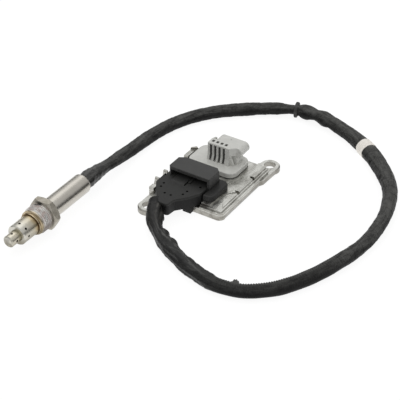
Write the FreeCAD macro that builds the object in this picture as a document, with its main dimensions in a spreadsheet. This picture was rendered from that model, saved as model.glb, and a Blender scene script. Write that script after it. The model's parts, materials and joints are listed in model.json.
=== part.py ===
"""Nitrogen oxide sensor: exhaust probe, taped cable and die-cast control unit.

The origin lies on the underside of the control unit, midway between its two
fixing holes. +X runs across the unit, +Y towards the vehicle connector and
+Z up. The probe lies beside the unit with its tip towards -Y, and the cable
runs round between them. All sizes are in millimetres.
"""
import FreeCAD, Part
import math
import os
import re
import Sketcher

SIZES = [
    # Die-cast housing of the control unit
    ("casting_left", -30.5, "left side of the die-cast housing"),
    ("casting_right", 28.0, "right side of the die-cast housing"),
    ("casting_near", -30.0, "near side of the die-cast housing"),
    ("casting_far", 38.2, "far side of the die-cast housing"),
    ("casting_corner", 4.5, "radius of the housing's upright corners"),
    ("rim_drop", 2.5, "how far the outer rim lies below the platform"),
    ("terrace_inset", 1.3, "width of the step between rim and terrace"),
    ("terrace_drop", 1.3, "how far the terrace lies below the platform"),
    ("platform_height", 8.5, "height of the platform that carries the connectors"),
    ("platform_inset", 2.6, "distance of the platform from the rim"),
    ("platform_slope", 14.0, "lean of the platform's sides in degrees"),
    ("platform_cut_across", 9.0, "width of the cut at the platform's near right corner"),
    ("platform_cut_along", 18.0, "length of the cut at the platform's near right corner"),
    ("corner_step_height", 0.7, "height of the step in the near right corner"),
    ("corner_step_near", 5.6, "distance of that step's corner from the near side"),
    ("bay_clearance", 0.9, "gap between the plug and the floor of its bay"),
    ("bay_gap", 0.9, "gap between the plug and the side of its bay"),
    # Fixing ears
    ("ear_across", 23.4, "distance of each fixing hole from the middle, across"),
    ("ear_along", 45.0, "distance of each fixing hole from the middle, along"),
    ("ear_radius", 7.6, "radius of each ear"),
    ("ear_hole_radius", 4.4, "radius of each fixing hole"),
    ("ear_height", 4.2, "thickness of each ear"),
    ("ear_edge", 0.9, "bevel of each ear's top edge"),
    ("arm_inner", 14.0, "inner side of each ear's arm, from the middle"),
    ("arm_outer", 29.5, "outer side of each ear's arm, from the middle"),
    ("arm_root", 22.3, "place along the housing where each arm starts"),
    ("web_offset", 1.5, "distance of each web from its fixing hole's middle"),
    ("web_thickness", 2.2, "thickness of the stiffening web on each arm"),
    # Small cast details
    ("notch_width", 2.4, "width of each notch in the platform's right edge"),
    ("notch_depth", 3.6, "how far each notch reaches into the platform"),
    ("notch_near", -2.9, "place of the near notch"),
    ("notch_pitch", 21.0, "distance between the two notches"),
    ("fin_thickness", 3.6, "thickness of each cast post on the left side"),
    ("fin_reach", 4.6, "how far each post stands out from the left side"),
    ("fin_height", 10.4, "height of each post"),
    ("fin_near", -20.3, "place of the near post"),
    ("fin_pitch", 10.8, "distance between posts"),
    ("fin_draft", 7.0, "lean of each post's sides in degrees"),
    ("low_post_reach", 1.6, "how far the low post stands out from the left side"),
    ("low_post_width", 2.2, "how far the low post reaches in from the left side"),
    ("low_post_depth", 1.2, "how far the low post stands out from the near side"),
    ("low_post_height", 8.4, "height of the low post"),
    ("lip_thickness", 2.0, "thickness of the lip at the far left"),
    ("lip_bend", 4.0, "length of the lip's bent end"),
    ("lip_near", 14.0, "near end of the lip"),
    ("lip_far", 27.4, "far end of the lip"),
    ("lip_height", 10.4, "height of the lip"),
    ("lip_tab", 3.0, "length of the tab at the lip's far end"),
    ("lip_tab_rise", 1.5, "height of that tab over the lip"),
    # Chamber, circuit board and bottom plate
    ("chamber_left", -26.0, "left side of the chamber"),
    ("chamber_right", 22.5, "right side of the chamber"),
    ("chamber_near", -14.5, "near side of the chamber"),
    ("chamber_far", 33.5, "far side of the chamber"),
    ("chamber_roof", 2.5, "thickness of the chamber's roof"),
    ("ledge_width", 1.6, "width of the ledge that the board seats against"),
    ("board_drop", 1.1, "distance of the board's upper face from the chamber's roof"),
    ("board_thickness", 1.6, "thickness of the circuit board"),
    ("board_gap", 0.3, "gap round the circuit board"),
    ("plate_thickness", 1.0, "thickness of the bottom plate"),
    ("gasket_thickness", 0.3, "thickness of the sealant on the bottom plate"),
    ("plate_side_gap", 0.2, "gap round the bottom plate"),
    ("plate_margin", 2.0, "distance of the plate's left side from the housing's"),
    ("plate_near", -25.0, "near side of the bottom plate"),
    ("plate_far", 36.0, "far side of the bottom plate"),
    ("gasket_width", 2.0, "width of the sealant bead"),
    ("processor_side", 10.0, "side of the processor"),
    ("processor_height", 1.3, "height of the processor"),
    ("processor_across", -4.0, "place of the processor across the board"),
    ("processor_along", 8.0, "place of the processor along the board"),
    ("driver_across", -17.0, "place of the heater driver across the board"),
    ("driver_along", 14.0, "place of the heater driver along the board"),
    ("amplifier_across", 10.0, "place of the signal amplifier across the board"),
    ("amplifier_along", 12.0, "place of the signal amplifier along the board"),
    ("capacitor_across", 12.0, "place of the filter capacitor across the board"),
    ("capacitor_along", -4.0, "place of the filter capacitor along the board"),
    ("driver_side", 6.5, "side of the heater driver"),
    ("driver_height", 1.6, "height of the heater driver"),
    ("capacitor_radius", 2.4, "radius of the filter capacitor"),
    ("capacitor_height", 1.9, "height of the filter capacitor"),
    # Vehicle connector
    ("seal_thickness", 0.6, "thickness of the seal under each connector"),
    ("seal_inset", 0.4, "distance of each seal's edge from the flange's"),
    ("flange_thickness", 3.8, "thickness of the vehicle connector's flange"),
    ("flange_left", -26.0, "left side of the flange"),
    ("flange_right", 14.5, "right side of the flange"),
    ("flange_near", 7.0, "near side of the flange"),
    ("flange_far", 33.5, "far side of the flange"),
    ("flange_corner", 7.0, "radius of the flange's corners"),
    ("flange_edge", 0.9, "rounding of the flange's top edge"),
    ("tower_left", -12.9, "left side of the tower"),
    ("tower_right", 5.4, "right side of the tower"),
    ("tower_foot", 15.1, "near side of the tower at its foot"),
    ("tower_near", 16.8, "near side of the tower above its knee"),
    ("tower_knee", 4.3, "height of the knee above the flange"),
    ("tower_height", 17.9, "height of the tower's top above its seal"),
    ("tower_edge", 0.6, "rounding of the tower's top edge"),
    ("slot_sill", 0.3, "height of the slots' feet above the flange"),
    ("slot_pitch", 3.63, "distance between the slots in the tower"),
    ("slot_width", 1.8, "width of each slot"),
    ("slot_first", -10.2, "place of the first slot"),
    ("slot_depth", 3.4, "depth of each slot"),
    ("slot_roof", 1.2, "thickness of the bar over each slot"),
    ("window_near", 19.2, "near side of the windows in the tower's top"),
    ("window_length", 2.2, "length of each window"),
    ("window_depth", 3.0, "depth of each window"),
    ("hood_left", -11.1, "left end of the socket's hood"),
    ("hood_right", 13.3, "right end of the socket's hood"),
    ("hood_height", 8.0, "height of the hood"),
    ("shoulder_height", 6.4, "height of the shoulder between tower and hood"),
    ("shoulder_setback", 0.4, "distance of the shoulder from the tower's near side"),
    ("hood_near", 20.8, "near end of the hood"),
    ("hood_far", 32.0, "mouth of the hood"),
    ("hood_wall", 1.1, "wall of the hood"),
    ("socket_back", 23.4, "back wall of the socket"),
    ("pedestal_far", 29.0, "far side of the block that carries the hood"),
    ("pedestal_right", 9.6, "right side of the block that carries the hood"),
    ("pedestal_wall", 0.9, "wall of that block in front of the pins' legs"),
    ("side_wall", 1.1, "thickness of the wall beside the hood's left end"),
    ("side_wall_far", 28.2, "far end of that wall"),
    ("side_wall_drop", 1.8, "how far the top of that wall falls to its far end"),
    ("gusset_thickness", 1.5, "thickness of each gusset beside the tower"),
    ("gusset_reach", 3.2, "how far the right gusset stands out from the tower"),
    ("gusset_left_reach", 2.4, "how far the left gusset stands out from the tower"),
    ("gusset_toe", 0.6, "height of each gusset's toe"),
    ("gusset_place", 0.6, "distance of the right gusset from the tower's near side"),
    ("gusset_left_place", 3.4, "distance of the left gusset from the tower's near side"),
    ("gusset_rise", 8.6, "height of the right gusset"),
    ("gusset_left_rise", 5.2, "height of the left gusset"),
    ("spigot_inset", 4.5, "distance of the vehicle connector's spigot from its flange's sides"),
    ("spigot_half", 3.0, "half the vehicle connector spigot's length"),
    ("spigot_gap", 0.3, "gap round each spigot in its window"),
    # Contact pins
    ("pin_side", 0.8, "side of each square contact pin"),
    ("pin_gap", 0.05, "gap round each pin in its plastic"),
    ("vehicle_pin_first", -6.5, "place of the first vehicle pin"),
    ("vehicle_pin_tip", 27.0, "tip of the vehicle pins"),
    ("vehicle_pin_bend", 21.6, "centre of the vehicle pins' upright legs"),
    ("header_pin_first", -18.9, "place of the first header pin"),
    ("header_pin_pitch", 3.4, "distance between header pins"),
    ("header_pin_tip", -12.0, "tip of the header pins"),
    ("header_pin_bend", -4.0, "centre of the header pins' upright legs"),
    # Sensor header
    ("header_left", -27.5, "left side of the header's flange"),
    ("header_right", 17.3, "right side of the header's flange"),
    ("header_near", -25.4, "near side of the header's flange beside the plug"),
    ("header_far", -1.0, "far side of the header's flange"),
    ("header_lap", 0.2, "how far the header's flange stands out in front of its shroud"),
    ("header_spigot_half", 1.5, "half the header spigot's length"),
    ("header_thickness", 4.2, "thickness of the header's flange"),
    ("header_corner", 5.0, "radius of the header flange's corners"),
    ("shroud_left", -24.0, "left side of the shroud"),
    ("shroud_right", 10.4, "right side of the shroud"),
    ("shroud_near", -18.0, "near side of the shroud"),
    ("shroud_far", -1.8, "far side of the shroud"),
    ("shroud_height", 13.1, "height of the shroud's top above its seal"),
    ("shroud_roof", 2.6, "thickness of the shroud's roof"),
    ("shroud_wall", 2.0, "thickness of the shroud's side walls"),
    ("shroud_bevel", 3.0, "bevel of the shroud's upright corners"),
    ("header_edge", 1.4, "rounding of the header flange's top edge on the right"),
    ("shroud_edge", 0.7, "rounding of the shroud's top edge"),
    ("mouth_back", -5.2, "back wall of the shroud's mouth"),
    ("mouth_rise", 1.5, "height of the floor of the shroud's mouth above the seal"),
    # Sensor plug
    ("plug_left", -26.6, "left side of the plug"),
    ("plug_right", 8.8, "right side of the plug"),
    ("shoulder_gap", 0.2, "gap between the plug's shoulder and the header"),
    ("plug_shoulder", -26.5, "place where the plug starts to taper"),
    ("plug_waist", -34.4, "place of the plug's waist on the right"),
    ("plug_waist_right", 4.6, "right side of the plug at its waist"),
    ("plug_neck", -43.0, "place where the plug's taper ends"),
    ("plug_neck_right", -2.7, "right side of the plug at its neck"),
    ("plug_tip", -50.5, "tip of the plug"),
    ("plug_tip_right", -3.4, "right side of the plug at its tip"),
    ("plug_tip_left", -11.0, "left side of the plug at its tip"),
    ("plug_flank_left", -20.6, "left side of the plug where the cable leaves"),
    ("plug_flank", -39.5, "place where the cable starts to leave the plug"),
    ("nose_height", 4.6, "height of the plug's nose"),
    ("plug_height", 9.4, "height of the plug from its underside to its top"),
    ("plug_corner", 2.2, "rounding of the plug's upright corners"),
    ("plug_edge", 0.8, "rounding of the plug's edges"),
    ("cover_thickness", 1.8, "thickness of the plug's cover"),
    ("dimple_middle", -10.5, "middle of the dimples' pattern"),
    ("dimple_radius", 0.8, "radius of each dimple in the cover"),
    ("dimple_depth", 0.8, "depth of each dimple"),
    ("nose_gap", 0.4, "gap between the plug's nose and the shroud"),
    ("nose_end_gap", 0.8, "gap in front of the plug's nose"),
    ("nose_root", 0.5, "how far the nose is rooted in the plug"),
    ("latch_width", 11.2, "width of the latch tongue"),
    ("latch_middle", -12.2, "middle of the latch tongue"),
    ("latch_near", -25.8, "root of the latch tongue"),
    ("latch_far", -9.0, "tip of the latch tongue"),
    ("latch_rise", 0.7, "height of the latch tongue over the cover"),
    ("latch_root", 0.3, "how deep the latch tongue and the rail are rooted in the cover"),
    ("catch_height", 2.3, "height of the catch on the latch tongue"),
    ("slit_depth", 1.1, "depth of the slits beside the latch tongue"),
    ("slit_width", 0.9, "width of the slits beside the latch tongue"),
    ("rail_width", 1.9, "width of the guide rail beside the latch tongue"),
    ("rail_near", -21.0, "near end of the guide rail"),
    ("rail_rise", 0.9, "height of the guide rail"),
    ("foot_left", -1.5, "left side of the plug's foot"),
    ("foot_width", 6.5, "width of the plug's foot"),
    ("foot_far", -30.6, "far side of the plug's foot"),
    ("foot_length", 3.6, "length of the plug's foot"),
    ("foot_bottom", 0.9, "underside of the plug's foot"),
    # Cable
    ("cable_diameter", 9.3, "diameter over the cable's tape"),
    ("collar_wall", 0.75, "wall of the plug's collar round the cable"),
    ("collar_reach", 3.0, "how far the plug's collar runs along the cable"),
    ("collar_depth", 5.0, "how far the collar runs on into the plug"),
    ("seat_gap", 0.1, "gap round the cable's end and the pieces pressed into the sleeve"),
    ("band_width", 8.0, "width of the white tape band"),
    ("band_wall", 0.35, "thickness of the white tape band"),
    ("band_place", 285.5, "place of the white tape band along the cable"),
    ("tie_place", 212.0, "place of the cable tie along the cable"),
    ("tie_width", 3.2, "width of the cable tie"),
    ("tie_wall", 1.2, "thickness of the cable tie"),
    ("tie_head", 2.8, "side of the cable tie's head"),
    ("tie_rise", 2.6, "how far the cable tie's head stands over the tape"),
    ("wrap_clearance", 0.15, "gap between the cable and what is wrapped round it"),
    # Probe
    ("probe_across", -72.5, "place of the probe's axis across the unit"),
    ("nut_flats", 22.0, "width across the nut's flats"),
    ("thread_radius", 10.0, "radius of the nut's thread"),
    ("thread_chamfer", 0.8, "chamfer at the front of the thread"),
    ("relief_length", 1.4, "length of the undercut behind the thread"),
    ("thread_relief", 0.9, "depth of the undercut behind the thread"),
    ("nut_near", -111.0, "front end of the nut's thread"),
    ("nut_hex", -102.3, "place where the nut's hexagon starts"),
    ("nut_far", -96.5, "back end of the nut"),
    ("nut_bevel", 1.3, "length of the bevel on the nut's corners"),
    ("nut_bore_gap", 0.08, "running gap between the nut and the probe's neck"),
    ("nut_end_gap", 0.25, "end gap in front of and behind the nut"),
    ("collar_radius", 9.3, "radius of the sealing collar"),
    ("collar_length", 3.9, "length of the sealing collar"),
    ("collar_step", 1.0, "height of the step on the sealing collar"),
    ("guard_radius", 7.5, "radius of the outer protection tube"),
    ("guard_near", -130.1, "front of the outer protection tube"),
    ("guard_wall", 0.8, "wall of the protection tubes"),
    ("tube_edge", 0.7, "rounding of each protection tube's front edge"),
    ("guard_hole_place", 4.2, "distance of the outer gas holes from the tube's front"),
    ("tip_hole_place", 4.4, "distance of the inner gas holes from the tip"),
    ("guard_hole_radius", 0.9, "radius of the gas holes"),
    ("tip_radius", 4.35, "radius of the inner protection tube"),
    ("tip_near", -138.9, "front of the inner protection tube"),
    ("sleeve_radius", 7.5, "radius of the outer sleeve"),
    ("sleeve_edge", 0.45, "rounding of the sleeve's ends"),
    ("sleeve_wall", 0.6, "wall of the outer sleeve"),
    ("sleeve_far", -56.0, "back end of the outer sleeve"),
    ("grommet_length", 9.0, "length of the rubber grommet"),
    ("holder_length", 22.0, "length of the ceramic contact holder"),
    ("rear_ceramic_gap", 3.5, "gap between the rear ceramic and the contact holder"),
    ("inner_gap", 0.1, "gap between the pieces inside the probe"),
    ("front_ceramic_length", 6.0, "length of the front ceramic"),
    ("talc_length", 5.0, "length of the pressed talc"),
    ("core_radius", 4.6, "radius of the ceramics inside the neck"),
    ("element_width", 4.2, "width of the sensing element"),
    ("element_thickness", 1.4, "thickness of the sensing element"),
    ("element_near", -135.5, "front of the sensing element"),
]

# The cable's route, chosen by hand: from the probe's sleeve, round the far
# side and the right side, and back to the plug on the control unit.
CABLE_ROUTE = [
    (-72.5, -56.0, 11.0),
    (-72.5, -40.0, 11.0),
    (-72.8, -22.0, 9.3),
    (-73.5, -3.0, 6.5),
    (-73.2, 17.2, 5.0),
    (-71.2, 37.5, 4.7),
    (-65.8, 56.8, 4.7),
    (-56.1, 75.8, 4.7),
    (-43.2, 91.2, 4.7),
    (-25.3, 106.0, 4.8),
    (-6.0, 118.4, 5.8),
    (14.2, 123.6, 6.5),
    (34.2, 121.0, 5.8),
    (55.7, 112.8, 5.0),
    (76.2, 100.6, 5.3),
    (95.0, 84.5, 5.0),
    (110.8, 66.2, 4.8),
    (120.6, 44.0, 4.7),
    (125.6, 21.0, 4.7),
    (126.6, -2.5, 4.7),
    (122.4, -26.0, 4.7),
    (114.8, -50.5, 4.7),
    (104.2, -72.0, 4.7),
    (94.0, -84.6, 4.7),
    (80.6, -93.6, 4.7),
    (65.2, -97.2, 4.7),
    (49.8, -95.0, 4.7),
    (35.2, -90.0, 4.7),
    (21.4, -82.6, 4.9),
    (9.0, -75.2, 5.4),
    (-0.9, -67.6, 6.6),
    (-8.3, -59.2, 8.0),
    (-13.6, -49.8, 9.4),
]

# Dimples in the plug's cover: each pair's distance from the middle, and its place along
DIMPLES = [("9.8", "-29.6"), ("9.2", "-34.1"), ("2.5", "-39.4"), ("15.0", "-20.4")]

# Places that several pieces share
HEADER_WINDOW = (
    "shroud_left + shroud_wall - spigot_gap",
    "shroud_right - shroud_wall + spigot_gap",
    "header_pin_bend - header_spigot_half - spigot_gap",
    "header_pin_bend + header_spigot_half + spigot_gap",
)
RIM_TOP = "(platform_height - rim_drop)"
TERRACE_TOP = "(platform_height - terrace_drop)"
SEAT = "(platform_height + seal_thickness)"
TOWER_TOP = f"({SEAT} + tower_height)"
SOCKET_MIDDLE = f"({TOWER_TOP} - hood_height / 2)"
SHROUD_TOP = f"({SEAT} + shroud_height)"
MOUTH_FLOOR = f"({SEAT} + mouth_rise)"
PLUG_TOP = f"({MOUTH_FLOOR} + nose_height)"
PLUG_BOTTOM = f"({PLUG_TOP} - plug_height)"
BAY_FLOOR = f"({PLUG_BOTTOM} - bay_clearance)"
CHAMBER_TOP = "(platform_height - chamber_roof)"
BOARD_TOP = f"({CHAMBER_TOP} - board_drop)"
HEADER_PIN_HEIGHT = f"({MOUTH_FLOOR} + nose_height / 2)"
NECK_RADIUS = "(sleeve_radius - sleeve_wall - seat_gap)"
HOLDER_NEAR = "(sleeve_far - grommet_length - holder_length)"
REAR_CERAMIC_FAR = f"({HOLDER_NEAR} - rear_ceramic_gap)"
PLUG_SHOULDER = "(shroud_near - header_lap - shoulder_gap)"
NOSE_FRONT = "(mouth_back - nose_end_gap)"

doc = FreeCAD.newDocument("nitrogen_oxide_sensor")
sheet = doc.addObject("Spreadsheet::Sheet", "sizes")
for row, (alias, size, meaning) in enumerate(SIZES, start=1):
    sheet.set(f"A{row}", meaning)
    sheet.set(f"B{row}", str(size))
    sheet.setAlias(f"B{row}", alias)
doc.recompute()
ALIASES = {alias for alias, size, meaning in SIZES}
PARTS = []


def bound(text):
    """The expression with every driving dimension pointing at the sheet."""
    def point(match):
        word = match.group()
        return "sizes." + word if word in ALIASES else word
    return re.sub(r"[a-z_]+", point, text)


def value(text):
    """The number that an expression in driving dimensions comes to now."""
    return float(sheet.evalExpression(bound(text)))


def new_body(label):
    """An empty body whose label names its file."""
    body = doc.addObject("PartDesign::Body", label)
    body.Label = label
    PARTS.append(body)
    return body


def new_sketch(body, name, plane="XY", at="0"):
    """A sketch on one of the body's own planes, moved along +Z, +Y or +X."""
    role = plane + "_Plane"
    support = next(item for item in body.Origin.OriginFeatures if item.Role == role)
    sketch = body.newObject("Sketcher::SketchObject", name)
    sketch.AttachmentSupport = [(support, "")]
    sketch.MapMode = "FlatFace"
    sign = "-" if plane == "XZ" else ""
    sketch.setExpression("AttachmentOffset.Base.z", f"{sign}({bound(at)})")
    return sketch


def hold(sketch, kind, first, point, text):
    """Ties a point, or a radius, of the sketch to an expression."""
    if kind == "Radius":
        rule = Sketcher.Constraint("Radius", first, value(text))
    else:
        rule = Sketcher.Constraint(kind, -1, 1, first, point, value(text))
    number = sketch.addConstraint(rule)
    name = f"{kind.lower()}_{number}"
    sketch.renameConstraint(number, name)
    sketch.setExpression(f"Constraints.{name}", bound(text))


def polygon(sketch, corners):
    """A closed outline of straight lines, each corner held by two expressions."""
    points = [FreeCAD.Vector(value(across), value(up), 0) for across, up in corners]
    first = sketch.GeometryCount
    count = len(points)
    for index in range(count):
        line = Part.LineSegment(points[index], points[(index + 1) % count])
        sketch.addGeometry(line)
    for index in range(count):
        following = first + (index + 1) % count
        sketch.addConstraint(Sketcher.Constraint("Coincident", first + index, 2, following, 1))
    for index, (across, up) in enumerate(corners):
        hold(sketch, "DistanceX", first + index, 1, across)
        hold(sketch, "DistanceY", first + index, 1, up)


def rectangle(sketch, left, right, bottom, top):
    """A rectangle between four expressions."""
    polygon(sketch, [(left, bottom), (right, bottom), (right, top), (left, top)])


def circle(sketch, across, up, radius):
    """A circle held by its centre and radius."""
    centre = FreeCAD.Vector(value(across), value(up), 0)
    number = sketch.addGeometry(Part.Circle(centre, FreeCAD.Vector(0, 0, 1), value(radius)))
    hold(sketch, "DistanceX", number, 3, across)
    hold(sketch, "DistanceY", number, 3, up)
    hold(sketch, "Radius", number, 0, radius)


def obround(sketch, left, right, bottom, top):
    """A rectangle with fully rounded ends between four expressions."""
    radius = f"(({top}) - ({bottom})) / 2"
    middle = f"(({top}) + ({bottom})) / 2"
    up = FreeCAD.Vector(0, value(radius), 0)
    ends = [(f"({left}) + {radius}", math.pi / 2), (f"({right}) - {radius}", -math.pi / 2)]
    arcs = []
    for across, start in ends:
        centre = FreeCAD.Vector(value(across), value(middle), 0)
        ring = Part.Circle(centre, FreeCAD.Vector(0, 0, 1), value(radius))
        number = sketch.addGeometry(Part.ArcOfCircle(ring, start, start + math.pi))
        arcs.append((number, centre))
        hold(sketch, "DistanceX", number, 3, across)
        hold(sketch, "DistanceY", number, 3, middle)
    (first, near), (second, far) = arcs
    lower = sketch.addGeometry(Part.LineSegment(near - up, far - up))
    upper = sketch.addGeometry(Part.LineSegment(far + up, near + up))
    for one, one_end, other, other_end in [
        (first, 2, lower, 1),
        (lower, 2, second, 1),
        (second, 2, upper, 1),
        (upper, 2, first, 1),
    ]:
        sketch.addConstraint(Sketcher.Constraint("Tangent", one, one_end, other, other_end))
    hold(sketch, "Radius", first, 0, radius)


def pad(body, sketch, name, length, reverse=False, slope=None):
    """A pad of the sketch, along the sketch's normal or against it."""
    feature = body.newObject("PartDesign::Pad", name)
    feature.Profile = sketch
    feature.setExpression("Length", bound(length))
    feature.Reversed = reverse
    if slope:
        feature.setExpression("TaperAngle", bound(slope))
    return feature


def pocket(body, sketch, name, length, reverse=False):
    """A pocket of the sketch, against the sketch's normal or along it."""
    feature = body.newObject("PartDesign::Pocket", name)
    feature.Profile = sketch
    feature.setExpression("Length", bound(length))
    feature.Reversed = reverse
    return feature


def row_of(body, feature, sketch, name, pitch, count):
    """Copies of a feature in a row along the sketch's horizontal axis."""
    pattern = body.newObject("PartDesign::LinearPattern", name)
    pattern.Originals = [feature]
    pattern.Direction = (sketch, ["H_Axis"])
    pattern.setExpression("Length", bound(f"({pitch}) * {count - 1}"))
    pattern.Occurrences = count
    body.Tip = pattern
    return pattern


def ring_of(body, feature, sketch, name, count):
    """Copies of a feature round the sketch's vertical axis."""
    pattern = body.newObject("PartDesign::PolarPattern", name)
    pattern.Originals = [feature]
    pattern.Axis = (sketch, ["V_Axis"])
    pattern.Angle = 360
    pattern.Occurrences = count
    body.Tip = pattern
    return pattern


def turned(body, sketch, name):
    """A revolution of the sketch round its own vertical axis."""
    feature = body.newObject("PartDesign::Revolution", name)
    feature.Profile = sketch
    feature.ReferenceAxis = (sketch, ["V_Axis"])
    feature.Angle = 360
    return feature


def dressed(body, kind, feature, name, size, test):
    """A Fillet or Chamfer on the feature's edges that pass the test."""
    doc.recompute()
    edges = [f"Edge{i}" for i, edge in enumerate(feature.Shape.Edges, start=1) if test(edge)]
    dress = body.newObject(f"PartDesign::{kind}", name)
    dress.Base = (feature, edges)
    dress.setExpression("Radius" if kind == "Fillet" else "Size", bound(size))
    return dress


def upright(edge, left=None, right=None, near=None, far=None):
    """Whether a straight edge stands upright inside the given limits."""
    box = edge.BoundBox
    if box.XLength > 0.01 or box.YLength > 0.01 or box.ZLength < 0.1:
        return False
    inside = left is None or box.XMin > left
    inside = inside and (right is None or box.XMax < right)
    inside = inside and (near is None or box.YMin > near)
    return inside and (far is None or box.YMax < far)


def level(edge, height):
    """Whether an edge lies level at a height."""
    box = edge.BoundBox
    return abs(box.ZMin - height) < 0.01 and abs(box.ZMax - height) < 0.01


def along_cable(body, kind, name, radius, before, beyond):
    """A cylinder on the axis of the cable's last run, round the cable's end."""
    end = FreeCAD.Vector(*CABLE_ROUTE[-1])
    way = (end - FreeCAD.Vector(*CABLE_ROUTE[-2])).normalize()
    base = end - way * value(before)
    feature = body.newObject(f"PartDesign::{kind}Cylinder", name)
    feature.setExpression("Radius", bound(radius))
    feature.setExpression("Height", bound(f"({before}) + ({beyond})"))
    feature.Placement = FreeCAD.Placement(base, FreeCAD.Rotation(FreeCAD.Vector(0, 0, 1), way))
    return feature


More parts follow.
